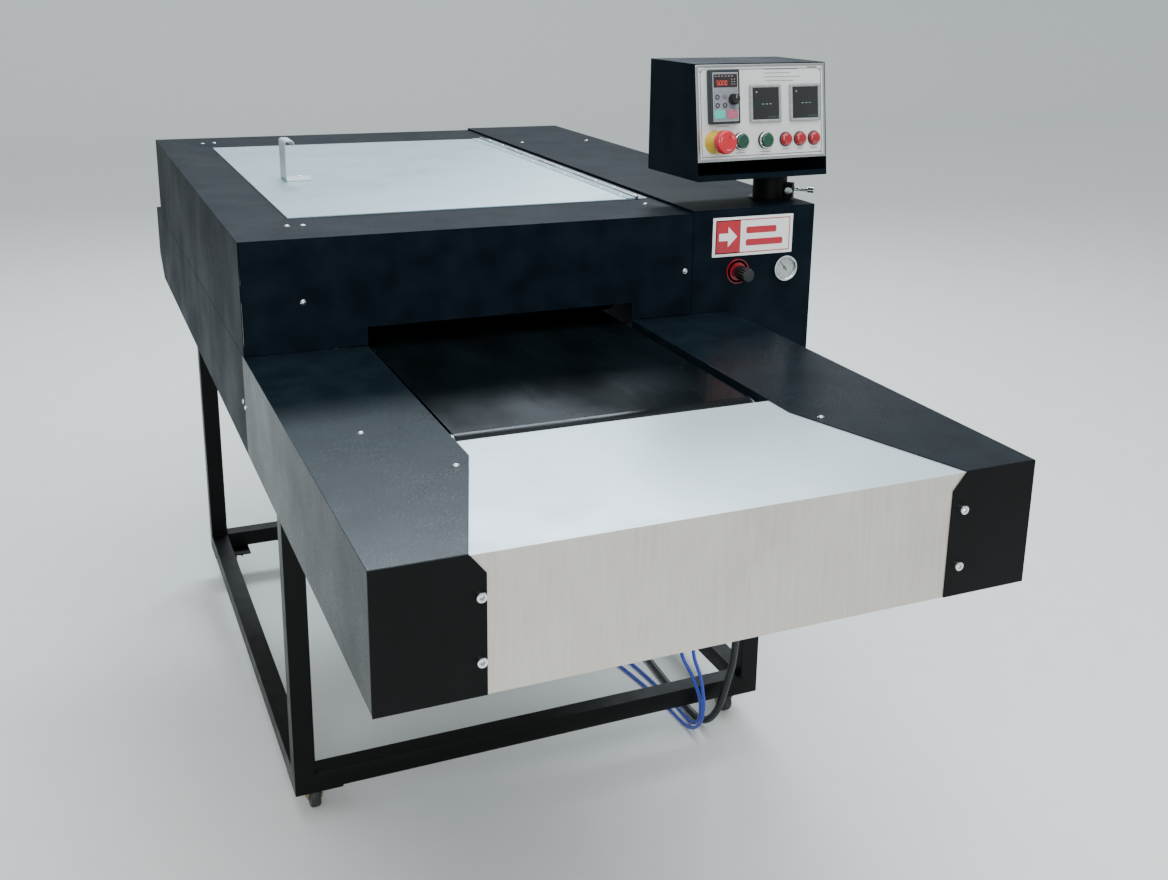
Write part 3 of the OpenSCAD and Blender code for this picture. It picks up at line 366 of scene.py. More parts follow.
def smooth_route(points: Array, steps: int = 12) -> Array:
    """A smooth curve through points: on each span the cubic that takes its slopes from the neighbours."""
    padded = np.vstack([points[:1], points, points[-1:]])
    share = np.linspace(0, 1, steps, endpoint=False)[:, None, None]
    a, b, c, d = (padded[i : len(padded) - 3 + i][None] for i in range(4))
    curve = 0.5 * (
        2 * b
        + (c - a) * share
        + (2 * a - 5 * b + 4 * c - d) * share**2
        + (3 * b - a - 3 * c + d) * share**3
    )
    return np.vstack([curve.transpose(1, 0, 2).reshape(-1, 3), points[-1:]])


def moved(rings: Array, to: Sequence[float], turn: Matrix | None = None) -> Array:
    """Rings turned by a rotation and then shifted to a point."""
    if turn is not None:
        rings = rings @ np.array(turn.to_3x3()).T
    return rings + np.asarray(to, float)


class Facing(Enum):
    """Turns that point a shape's +z another way."""

    UP = Matrix.Identity(3)
    DOWN = Matrix.Rotation(math.pi, 3, "X")
    FRONT = Matrix.Rotation(math.pi / 2, 3, "X")
    BACK = Matrix.Rotation(-math.pi / 2, 3, "X")
    LEFT = Matrix.Rotation(-math.pi / 2, 3, "Y")
    RIGHT = Matrix.Rotation(math.pi / 2, 3, "Y")


def joined(name: str, parts: Sequence[bpy.types.Object]) -> bpy.types.Object:
    """Joins several meshes into the first one and names it.

    Args:
        name: the joined object's name.
        parts: meshes that hold their place in their points.

    Returns:
        The joined object.
    """
    work = bmesh.new()
    for part in parts:
        work.from_mesh(part.data)
    mesh = bpy.data.meshes.new(name)
    work.to_mesh(mesh)
    work.free()
    for part in parts:
        bpy.data.objects.remove(part)
    mesh.shade_smooth()
    mesh.set_sharp_from_angle(angle=math.radians(35))
    made = bpy.data.objects.new(name, mesh)
    bpy.context.scene.collection.objects.link(made)
    return made


# ---------- finishes ----------


class Finish:
    """One surface finish, which makes its material once."""

    def material(self) -> bpy.types.Material:
        """The finish's material, made on first use."""
        known = bpy.data.materials.get(self.name)
        if known is not None:
            return known
        made = bpy.data.materials.new(self.name)
        made.use_nodes = True
        tree = made.node_tree
        tree.nodes.clear()
        place = add(tree, "ShaderNodeTexCoord").outputs["Object"]
        shader = self.shader(tree, place)
        add(tree, "ShaderNodeOutputMaterial", {"Surface": shader.outputs[0]})
        return made

    def shader(self, tree: bpy.types.NodeTree, place: Socket) -> bpy.types.Node:
        """Builds the finish's nodes and returns its shader."""
        raise NotImplementedError


def stretched(tree: bpy.types.NodeTree, place: Socket, scale: Sequence[float]) -> Socket:
    """The place scaled along each axis, so that a pattern runs longer one way."""
    return add(tree, "ShaderNodeMapping", {"Vector": place, "Scale": tuple(scale)}).outputs[0]


def noise(
    tree: bpy.types.NodeTree, place: Socket, size_mm: float, detail: float = 2, rough: float = 0.5
) -> Socket:
    """Soft random grain with features of that size."""
    return add(
        tree,
        "ShaderNodeTexNoise",
        {"Vector": place, "Scale": per_metre(size_mm), "Detail": detail, "Roughness": rough},
    ).outputs["Fac"]


def between(
    tree: bpy.types.NodeTree, share: Socket, low: float, high: float, start: float = 0.3, end: float = 0.7
) -> Socket:
    """Maps a grain from start..end to low..high, held at its ends."""
    return add(
        tree,
        "ShaderNodeMapRange",
        {"Value": share, "From Min": start, "From Max": end, "To Min": low, "To Max": high},
    ).outputs[0]


def blended(tree: bpy.types.NodeTree, share: Socket, first: str, second: str) -> Socket:
    """Mixes two hex colours by a share from 0 to 1."""
    return add(
        tree, "ShaderNodeMix", {0: share, 6: linear(first), 7: linear(second)}, data_type="RGBA"
    ).outputs[2]


def relief(
    tree: bpy.types.NodeTree, height: Socket, depth_mm: float, strength: float = 1,
    under: Socket | None = None
) -> Socket:
    """A surface normal raised by a height map of that depth."""
    inputs: dict[Any, Any] = {"Height": height, "Distance": depth_mm * MM, "Strength": strength}
    if under is not None:
        inputs["Normal"] = under
    return add(tree, "ShaderNodeBump", inputs).outputs[0]


@dataclass(frozen=True)
class PowderCoat(Finish):
    """Thermoset powder baked on steel sheet: a hard, finely pebbled skin that glitters at a low angle.

    The pebbles are about 1 mm across and are drawn a few millimetres across, so that they show.
    """

    name: str
    base: str
    worn: str
    rough: float
    pebble_mm: float
    depth_mm: float
    sheen: float = 0.5
    coat: float = 0.25

    def shader(self, tree: bpy.types.NodeTree, place: Socket) -> bpy.types.Node:
        """Two sizes of pebble in the normal, slow mottling in the colour and faint marks in the gloss."""
        pebble = noise(tree, place, self.pebble_mm, 3, 0.6)
        handled = noise(tree, place, 160, 3)
        mottle = between(tree, noise(tree, place, 55, 4), 0, 1, 0.35, 0.65)
        gloss = add(
            tree,
            "ShaderNodeMath",
            {
                0: between(tree, pebble, -0.06, 0.06),
                1: between(tree, handled, self.rough - 0.05, self.rough + 0.07)
            },
            operation="ADD",
        ).outputs[0]
        coarse = relief(tree, noise(tree, place, self.pebble_mm * 5, 2), self.depth_mm * 0.8)
        normal = relief(tree, pebble, self.depth_mm, 1, coarse)
        return add(
            tree,
            "ShaderNodeBsdfPrincipled",
            {
                "Base Color": blended(tree, mottle, self.base, self.worn),
                "Roughness": gloss,
                "Normal": normal,
                "Specular IOR Level": self.sheen,
                "Coat Weight": self.coat,
                "Coat Roughness": 0.18,
            },
        )


@dataclass(frozen=True)
class Enamel(Finish):
    """Sprayed alkyd enamel: a smooth coloured film with a faint orange peel about 4 mm across."""

    name: str
    base: str
    shade: str
    rough: float
    coat: float = 0.4
    peel_mm: float = 6
    peel_depth_mm: float = 0.02
    sheen: float = 0.5

    def shader(self, tree: bpy.types.NodeTree, place: Socket) -> bpy.types.Node:
        """Orange peel in the normal and slow dust shading in the colour."""
        peel = noise(tree, place, self.peel_mm, 2)
        dust = between(tree, noise(tree, place, 90, 5, 0.6), 0, 1, 0.35, 0.7)
        gloss = between(tree, noise(tree, place, 35, 4), self.rough - 0.04, self.rough + 0.08)
        return add(
            tree,
            "ShaderNodeBsdfPrincipled",
            {
                "Base Color": blended(tree, dust, self.base, self.shade),
                "Roughness": gloss,
                "Normal": relief(tree, peel, self.peel_depth_mm),
                "Specular IOR Level": self.sheen,
                "Coat Weight": self.coat,
                "Coat Roughness": 0.1,
            },
        )


@dataclass(frozen=True)
class Brushed(Finish):
    """Cold-rolled stainless sheet finished with an abrasive belt: fine lines all one way.

    The lines are under 0.2 mm apart and are drawn about 1.5 mm apart, so that they show.
    """

    name: str
    base: str
    shade: str
    rough: float
    run: tuple[float, float, float]
    line_mm: float = 1.5
    depth_mm: float = 0.02
    metallic: float = 1.0

    def shader(self, tree: bpy.types.NodeTree, place: Socket) -> bpy.types.Node:
        """A grain stretched along the brushing gives the lines, and slow clouds give the handling marks."""
        lines = noise(tree, stretched(tree, place, self.run), self.line_mm, 4, 0.65)
        clouds = noise(tree, place, 120, 4, 0.6)
        share = add(
            tree,
            "ShaderNodeMath",
            {0: between(tree, lines, 0, 0.6), 1: between(tree, clouds, 0, 0.4, 0.35, 0.65)},
            operation="ADD",
        ).outputs[0]
        gloss = add(
            tree,
            "ShaderNodeMath",
            {
                0: between(tree, lines, -0.05, 0.05),
                1: between(tree, clouds, self.rough - 0.05, self.rough + 0.06)
            },
            operation="ADD",
        ).outputs[0]
        return add(
            tree,
            "ShaderNodeBsdfPrincipled",
            {
                "Base Color": blended(tree, share, self.base, self.shade),
                "Metallic": self.metallic,
                "Roughness": gloss,
                "Normal": relief(tree, lines, self.depth_mm),
            },
        )


@dataclass(frozen=True)
class Plated(Finish):
    """Electroplated steel: bright nickel-chrome, or zinc with its yellow passivation."""

    name: str
    base: str
    tint: str
    rough: float
    patch_mm: float = 12

    def shader(self, tree: bpy.types.NodeTree, place: Socket) -> bpy.types.Node:
        """Patches of the second colour, with the gloss varying a little."""
        patch = noise(tree, place, self.patch_mm, 4, 0.6)
        fine = noise(tree, place, self.patch_mm / 6, 3)
        return add(
            tree,
            "ShaderNodeBsdfPrincipled",
            {
                "Base Color": blended(tree, between(tree, patch, 0, 1), self.base, self.tint),
                "Metallic": 1.0,
                "Roughness": between(tree, patch, self.rough - 0.03, self.rough + 0.09),
                "Normal": relief(tree, fine, 0.01),
            },
        )


@dataclass(frozen=True)
class Moulded(Finish):
    """Injection-moulded thermoplastic: an even colour with a fine spark-eroded grain."""

    name: str
    base: str
    shade: str
    rough: float
    grain_mm: float = 1.2
    depth_mm: float = 0.02
    coat: float = 0.0
    glow: float = 0.0
    clear: float = 0.0

    def shader(self, tree: bpy.types.NodeTree, place: Socket) -> bpy.types.Node:
        """Moulding grain in the normal and a faint unevenness in the colour."""
        grain = noise(tree, place, self.grain_mm, 2)
        uneven = between(tree, noise(tree, place, 9, 3), 0, 1)
        return add(
            tree,
            "ShaderNodeBsdfPrincipled",
            {
                "Base Color": blended(tree, uneven, self.base, self.shade),
                "Roughness": between(tree, grain, self.rough - 0.04, self.rough + 0.05),
                "Normal": relief(tree, grain, self.depth_mm),
                "IOR": 1.49,
                "Coat Weight": self.coat,
                "Transmission Weight": self.clear,
                "Emission Color": linear(self.base),
                "Emission Strength": self.glow,
            },
        )


@dataclass(frozen=True)
class BeltCloth(Finish):
    """Glass cloth coated with black PTFE: a slick film in which the plain weave just shows.

    The threads are 1 mm apart and are drawn wider, so that they show.
    """

    name: str
    base: str
    shade: str
    rough: float
    thread_mm: float = 3

    def shader(self, tree: bpy.types.NodeTree, place: Socket) -> bpy.types.Node:
        """Two crossed wave patterns make the weave; stains from use dull it in places."""
        warp, weft = (
            add(
                tree,
                "ShaderNodeTexWave",
                {"Vector": place, "Scale": per_metre(self.thread_mm) / 20, "Distortion": 0.4},
                bands_direction=way,
            ).outputs["Fac"]
            for way in ("X", "Y")
        )
        weave = add(tree, "ShaderNodeMath", {0: warp, 1: weft}, operation="MULTIPLY").outputs[0]
        stain = noise(tree, stretched(tree, place, (1, 0.4, 1)), 140, 5, 0.6)
        ripple = relief(tree, noise(tree, stretched(tree, place, (1, 0.25, 1)), 45, 2), 0.35)
        return add(
            tree,
            "ShaderNodeBsdfPrincipled",
            {
                "Base Color": blended(tree, between(tree, stain, 0, 1, 0.4, 0.7), self.base, self.shade),
                "Roughness": between(tree, stain, self.rough - 0.05, self.rough + 0.12),
                "Normal": relief(tree, weave, 0.03, 1, ripple),
                "IOR": 1.38,
                "Specular IOR Level": 0.1,
                "Coat Weight": 0.03,
            },
        )


@dataclass(frozen=True)
class Glass(Finish):
    """Float glass or clear acrylic: colourless, smooth, with the faintest haze."""

    name: str
    base: str = "#f4f8f8"
    rough: float = 0.03

    def shader(self, tree: bpy.types.NodeTree, place: Socket) -> bpy.types.Node:
        """A smooth transmitting surface whose haze varies slowly."""
        haze = between(tree, noise(tree, place, 20, 3), self.rough, self.rough + 0.04)
        return add(
            tree,
            "ShaderNodeBsdfPrincipled",
            {"Base Color": linear(self.base), "Roughness": haze, "Transmission Weight": 1.0, "IOR": 1.45},
        )


@dataclass(frozen=True)
class RubberSkin(Finish):
    """Vulcanised rubber or soft PVC: dark and matt, with scuffs that catch dust."""

    name: str
    base: str
    dust: str
    rough: float
    grain_mm: float = 1.6

    def shader(self, tree: bpy.types.NodeTree, place: Socket) -> bpy.types.Node:
        """Fine grain in the normal, and dust that lies in soft patches."""
        grain = noise(tree, place, self.grain_mm, 3)
        scuff = between(tree, noise(tree, place, 14, 5, 0.65), 0, 1, 0.45, 0.75)
        return add(
            tree,
            "ShaderNodeBsdfPrincipled",
            {
                "Base Color": blended(tree, scuff, self.base, self.dust),
                "Roughness": between(tree, grain, self.rough - 0.05, self.rough + 0.06),
                "Normal": relief(tree, grain, 0.03),
                "IOR": 1.52,
            },
        )


POWDER = PowderCoat("powder_coat_blue_black", "#0b131a", "#111a22", 0.46, 3.2, 0.05, 0.02, 0.0)
POWDER_COARSE = PowderCoat("powder_coat_arms", "#0e171d", "#141e25", 0.3, 3.4, 0.3, 0.03, 0.1)
PLATE_BLACK = Enamel("satin_black_plate", "#050506", "#08090b", 0.42, 0.0, sheen=0.12)
FRAME_BLACK = Enamel("satin_black_tube", "#050506", "#090a0b", 0.42, 0.0, 5, sheen=0.15)
LID_SATIN = Brushed("satin_blue_grey_sheet", "#93aeb7", "#86a1ab", 0.36, (1, 0.05, 1), 2.5, 0.01, 0.25)
# Table top: its cool blue-white colour is painted reflection on the stainless sheet.
TABLE_TOP_PAINTED_COOL_REFLECTION = Brushed("table_stainless_painted_cool_reflection", "#c9dbe5", "#bccfda", 0.34, (0.04, 1, 1), 2, 0.012, 0.25)
# Apron of the same sheet: its warm beige colour is painted reflection; its upright brushing is real.
APRON_PAINTED_WARM_REFLECTION = Brushed("apron_brushed_painted_warm_reflection", "#cdc7bf", "#bab4ab", 0.38, (1, 1, 0.05), 5, 0.02, 0.4)
STEEL = Brushed("ground_steel", "#9fa3a7", "#7c8084", 0.32, (1, 0.08, 1), 1.2)
TURNED = Brushed("turned_steel", "#b2b5b8", "#8f9296", 0.22, (0.05, 1, 1), 1)
IRON = Enamel("cast_iron_grey", "#4a4f53", "#3b3f43", 0.5, 0.0, 3, 0.08)
CHROME = Plated("bright_chrome", "#e6e8ea", "#cfd3d6", 0.08)
ZINC = Plated("yellow_zinc", "#b39a68", "#8d7c62", 0.3)
WHITE_PLATE = Enamel("white_enamel", "#dcdedd", "#cfd1d0", 0.3, 0.3, 5, 0.01)
ALUMINIUM = Brushed("anodised_aluminium", "#c7cbce", "#aeb3b7", 0.3, (0.06, 1, 1), 1.2)
BLACK_PLASTIC = Moulded("black_abs", "#131416", "#1b1c1f", 0.42)
NAVY_PLASTIC = Moulded("dark_slate_abs", "#18222b", "#202b34", 0.4)
GREY_FACE = Moulded("grey_membrane", "#878a92", "#74777f", 0.45, 0.8, 0.01)
KEY_CYAN = Moulded("cyan_key", "#3fc7b4", "#35b3a2", 0.4)
KEY_PINK = Moulded("pink_key", "#b8647e", "#a65570", 0.4)
DISPLAY = Moulded("smoked_display", "#2b1518", "#1d0f12", 0.12, 3, 0.002, 0.6)
DIGIT_RED = Moulded("lit_digit", "#d2483a", "#b93a30", 0.3, glow=0.7)
DIGIT_TEAL = Moulded("dim_digit", "#6fa79c", "#5c9389", 0.3, glow=0.25)
GLASS_BLACK = Moulded("black_window", "#07090a", "#0b0e10", 0.07, 4, 0.002, 0.8)
STOP_RED = Moulded("stop_red", "#d63038", "#c42830", 0.28, 2, 0.01, 0.5)
COLLAR_YELLOW = Moulded("collar_yellow", "#d9b62a", "#c9a31f", 0.35, 2, 0.01, 0.2)
CAP_GREEN = Moulded("cap_green", "#0c4a34", "#0a3c2b", 0.24, 2, 0.01, 0.5)
LENS_RED = Moulded("lens_red", "#b01826", "#9c1421", 0.16, 3, 0.02, 0.6, 0.12, 0.25)
RING_RED = Moulded("ring_red", "#8e1626", "#7a1120", 0.34, 1.5, 0.02, 0.2)
CLEAR = Glass("clear_glass")
DIAL_WHITE = Enamel("dial_white", "#e9ecec", "#dfe3e3", 0.35, 0.2, 3, 0.003)
INK_BLACK = Moulded("ink_black", "#15171a", "#1d1f22", 0.5, 1, 0.002)
INK_RED = Moulded("ink_red", "#b81f33", "#a81a2d", 0.4, 1, 0.002, 0.3)
INK_GREY = Moulded("ink_grey", "#8d9092", "#7f8285", 0.5, 1, 0.002)
LABEL_WHITE = Enamel("label_vinyl", "#eef0ef", "#e4e6e5", 0.3, 0.4, 4, 0.004)
BELT = BeltCloth("ptfe_belt", "#05090c", "#0c1418", 0.22)
TREAD = RubberSkin("caster_tread", "#17181a", "#3b3a38", 0.55)
SHEATH = RubberSkin("cable_sheath", "#0d0e10", "#1f2022", 0.42)
SILICONE = RubberSkin("silicone_cover", "#7d3426", "#8d4a3a", 0.5)
HOSE_BLUE = Moulded("polyurethane_blue", "#1a35a8", "#2140bd", 0.22, 3, 0.01, 0.4, clear=0.1)
MOTOR_BLUE = Enamel("motor_paint", "#3b546b", "#32485d", 0.4, 0.2, 4, 0.04)


# ---------- places ----------


@dataclass(frozen=True)
class Datum:
    """The body's own corner: the left arm's outer face, the arms' front and the arm tops."""

    left: float
    front: float
    deck: float

    def at(self, x: float, y: float, z: float) -> Array:
        """A point given in millimetres from the corner, as frame metres."""
        return np.array([self.left + x * MM, self.front + y * MM, self.deck + z * MM])

    def floor_route(self, points: Sequence[Sequence[float]]) -> Array:
        """Points with x and y from the corner and z from the floor, in millimetres, as frame metres."""
        route = np.asarray(points, float) * MM
        return route + np.array([self.left, self.front, 0])


def node_points(node: str) -> Array:
    """Every vertex of a CAD node, n by 3."""
    mesh = frame["nodes"][node].data
    flat = np.empty(len(mesh.vertices) * 3)
    mesh.vertices.foreach_get("co", flat)
    return flat.reshape(-1, 3)


def joint(name: str) -> dict[str, Any]:
    """The record's entry for one joint."""
    return next(entry for entry in frame["joints"] if entry["name"] == name)


def corner_datum() -> Datum:
    """Reads the body's corner from the left arm's cover and the end plates."""
    low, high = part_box("arm_cover_left")
    return Datum(low.x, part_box("end_plates")[0].y, high.z)


@dataclass(frozen=True)
class PanelFrame:
    """The sloping panel's own axes: u to the right, v up the panel and w straight out of it."""

    origin: Array
    axes: Array

    def place(self, rings: Array, u: float = 0, v: float = 0, w: float = 0) -> Array:
        """Takes panel coordinates, in metres, to the frame."""
        return (np.asarray(rings, float) + (u, v, w)) @ self.axes + self.origin

    def box(self, node: str) -> tuple[Array, Array]:
        """A node's lowest and highest u, v and w."""
        local = (node_points(node) - self.origin) @ self.axes.T
        return local.min(0), local.max(0)


def panel_frame() -> PanelFrame:
    """Reads the panel's slope from the stop button's travel and its corner from the panel plate."""
    inward = np.array(joint("stop_push")["axis"], float)
    across = np.array([inward[1], -inward[0], 0])
    across /= np.linalg.norm(across)
    axes = np.array([across, np.cross(across, inward), -inward])
    local = node_points("control_panel") @ axes.T
    low, high = local.min(0), local.max(0)
    return PanelFrame(np.array([low[0], low[1], high[2]]) @ axes, axes)


# ---------- carried pieces ----------


class Part:
    """Shared steps: giving a piece its finish and its body."""

    def dress(
        self, piece: bpy.types.Object, finish: Finish, body: str, slot: str, replaces: Sequence[str] = ()
    ) -> bpy.types.Object:
        """Finishes a piece and ties it to a CAD body.

        Args:
            piece: the object.
            finish: its surface finish.
            body: the body that it rides on.
            slot: the record's material slot; not used.
            replaces: CAD nodes that it stands for.

        Returns:
            The piece.
        """
        piece.data.materials.clear()
        piece.data.materials.append(finish.material())
        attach(piece, body)
        if replaces:
            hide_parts(*replaces)
        LOG.info("piece %s: %s on %s", piece.name, finish.name, body)
        return piece

    def soften(
        self, node: str, name: str, finish: Finish, edge_mm: float, segments: int = 2, sharp_deg: float = 28
    ) -> bpy.types.Object:
        """Stands a copy of a CAD node in its place, merged and with its edges rounded.

        Args:
            node: the CAD node.
            name: the new piece's name.
            finish: its surface finish.
            edge_mm: radius of the rounding.
            segments: faces across the rounding.
            sharp_deg: edges that turn by more than this are rounded.

        Returns:
            The piece.
        """
        source = frame["nodes"][node]
        piece = bpy.data.objects.new(name, source.data.copy())
        bpy.context.scene.collection.objects.link(piece)
        bevel = piece.modifiers.new("rounded_edges", "BEVEL")
        bevel.width = edge_mm * MM
        bevel.segments = segments
        bevel.limit_method = "ANGLE"
        bevel.angle_limit = math.radians(sharp_deg)
        bevel.miter_outer = "MITER_ARC"
        bevel.harden_normals = True
        area = drawn_area(source.data)
        for flats in Flats:
            piece.data = source.data.copy()
            piece.data.name = name
            tidy_mesh(piece.data, sharp_deg, flats)
            shown = piece.evaluated_get(bpy.context.evaluated_depsgraph_get())
            if drawn_area(shown.to_mesh()) < area * 1.002:
                break
            LOG.info("piece %s: flats joined as %s fill a hole", name, flats.value)
        slots = {entry["node"]: entry["material_slot"] for entry in frame["record"]["subparts"]}
        return self.dress(piece, finish, source["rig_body"], slots[node], [node])


def flat_strokes(strokes: Sequence[tuple[float, float, float, float]], depth: float) -> list[Array]:
    """Rings of thin flat bars, each given as (middle u, middle v, width, height)."""
    return [block_rings(w, h, depth, min(w, h) * 0.3, depth * 0.4) + (u, v, 0) for u, v, w, h in strokes]


SEGMENTS = {
    "0": "abcdef", "1": "bc", "2": "abdeg", "3": "abcdg", "4": "bcfg",
    "5": "acdfg", "6": "acdefg", "7": "abc", "8": "abcdefg", "9": "abcdfg", "-": "g",
}


def digit_strokes(number: str, height: float) -> list[tuple[float, float, float, float]]:
    """The lit bars of a row of seven-bar digits, starting at the origin.

    Args:
        number: digits and dashes.
        height: height of a digit.

    Returns:
        Bars for flat_strokes().
    """
    half, thick = height / 2, height * 0.12
    places = {
        "a": (
            half / 2, height, half, thick
        ), "g": (half / 2, half, half, thick), "d": (half / 2, 0, half, thick),
        "f": (0, height * 0.75, thick, half), "b": (half, height * 0.75, thick, half),
        "e": (0, height * 0.25, thick, half), "c": (half, height * 0.25, thick, half),
    }
    return [
        (places[bar][0] + at * height * 0.8, *places[bar][1:])
        for at, digit in enumerate(number)
        for bar in SEGMENTS[digit]
    ]


def separate_bodies(node: str) -> list[tuple[Array, Array]]:
    """The lowest and highest corners of a node's separate solids, from left to right and front to back."""
    work = bmesh.new()
    work.from_mesh(frame["nodes"][node].data)
    bmesh.ops.remove_doubles(work, verts=work.verts, dist=2e-6)
    left = set(work.verts)
    found = []
    while left:
        island, edge = set(), {left.pop()}
        while edge:
            island |= edge
            edge = {e.other_vert(v) for v in edge for e in v.link_edges} - island
        left -= island
        points = np.array([v.co for v in island])
        found.append((points.min(0), points.max(0)))
    work.free()
    return sorted(found, key=lambda box: tuple(np.round(box[0], 4)))


def paint(finish: Finish, *nodes: str) -> None:
    """Gives CAD nodes that stay as they are their finish."""
    for node in nodes:
        materials = frame["nodes"][node].data.materials
        materials.clear()
        materials.append(finish.material())
        LOG.info("node %s: %s", node, finish.name)


def box_middle(node: str) -> Array:
    """The middle of a node's box."""
    low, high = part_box(node)
    return (np.array(low) + np.array(high)) / 2


# ---------- camera, light and floor ----------


@dataclass
class Studio(Part):
    """The camera, the soft lights and the pale floor."""

    stand: tuple[float, float, float] = (-0.848, -2.4545, 1.597)
    yaw_deg: float = 24.3
    pitch_deg: float = 15.69
    roll_deg: float = 1.11
    lens_mm: float = 39.83
    shift: tuple[float, float] = (-0.0265, -0.0878)
    floor_half: float = 30.0
    back_at: float = 10.0
    bend: float = 1.6
    back_high: float = 3.0

    def camera(self) -> None:
        """Places the camera by its yaw to the right, its pitch down and its roll about the line of sight."""
        yaw, pitch, roll = (math.radians(a) for a in (self.yaw_deg, self.pitch_deg, self.roll_deg))
        ahead = Vector((math.sin(yaw) * math.cos(pitch), math.cos(yaw) * math.cos(pitch), -math.sin(pitch)))
        right = Vector((math.cos(yaw), -math.sin(yaw), 0))
        up = right.cross(ahead)
        tilted = right * math.cos(roll) + up * math.sin(roll)
        upright = up * math.cos(roll) - right * math.sin(roll)
        data = bpy.data.cameras.new("view")
        data.lens, data.sensor_width = self.lens_mm, 36
        data.shift_x, data.shift_y = self.shift
        data.clip_end = 100
        made = bpy.data.objects.new("view", data)
        bpy.context.scene.collection.objects.link(made)
        turn = Matrix((tilted, upright, -ahead)).transposed().to_4x4()
        made.matrix_world = Matrix.Translation(self.stand) @ turn
        bpy.context.scene.camera = made

    def softbox(
        self, name: str, at: Sequence[float], to: Sequence[float], size: tuple[float, float], watts: float,
        tint: str = "#ffffff",
    ) -> None:
        """Adds one rectangular soft light at a point, aimed at another."""
        data = bpy.data.lights.new(name, "AREA")
        data.shape = "RECTANGLE"
        data.size, data.size_y = size
        data.energy = watts
        data.color = linear(tint)[:3]
        made = bpy.data.objects.new(name, data)
        bpy.context.scene.collection.objects.link(made)
        aim = (Vector(to) - Vector(at)).to_track_quat("-Z", "Y").to_matrix().to_4x4()
        made.matrix_world = Matrix.Translation(at) @ aim

    def lights(self) -> None:
        """Broad lights overhead and behind, weak ones in front, and one for the backdrop alone."""
        self.softbox("overhead", (0.2, -0.8, 4.2), (0, -0.2, 0.8), (4.2, 3.4), 120)
        self.softbox("behind", (1.3, 4.0, 4.0), (0, -0.9, 0.9), (3.6, 0.9), 210, "#e4f3ff")
        self.softbox("front", (-1.3, -4.6, 2.6), (0.1, -0.6, 0.8), (2.0, 1.6), 80)
        self.softbox("foreground", (0.6, -3.6, 5.0), (0.6, -3.2, 0), (5.0, 2.0), 70)
        self.softbox("backdrop", (2.5, 4.5, 5.5), (5.0, 11.0, 0.8), (7.0, 3.0), 40)
        world = bpy.data.worlds.new("studio")
        bpy.context.scene.world = world
        world.use_nodes = True
        shade = world.node_tree.nodes["Background"]
        shade.inputs["Color"].default_value = linear("#d3d8d9")
        shade.inputs["Strength"].default_value = 0.95

    def floor(self) -> None:
        """A plain pale floor, far larger than the machine, that sweeps up into a backdrop well behind it."""
        turn = np.linspace(0, math.pi / 2, 25)
        sweep = np.column_stack([self.back_at + self.bend * np.sin(turn), self.bend * (1 - np.cos(turn))])
        profile = np.concatenate(
            [[(-self.floor_half, 0)], sweep, [(self.back_at + self.bend, self.back_high)]]
        )
        across = np.array([-self.floor_half, self.floor_half])
        points = np.array([[(x, y, z) for x in across] for y, z in profile]).reshape(-1, 3)
        mesh = bpy.data.meshes.new("studio_floor")
        mesh.from_pydata(points.tolist(), [], grid_faces(len(profile), 2, False).tolist())
        mesh.shade_smooth()
        mesh.materials.append(FLOOR.material())
        made = bpy.data.objects.new("studio_floor", mesh)
        bpy.context.scene.collection.objects.link(made)

    def build(self) -> None:
        """Makes the camera, the lights and the floor."""
        self.camera()
        self.lights()
        self.floor()


FLOOR = Enamel("studio_floor_paint", "#eef3f2", "#ebf0ef", 0.8, 0.0, 40, 0.0, sheen=0.2)


# ---------- cords ----------


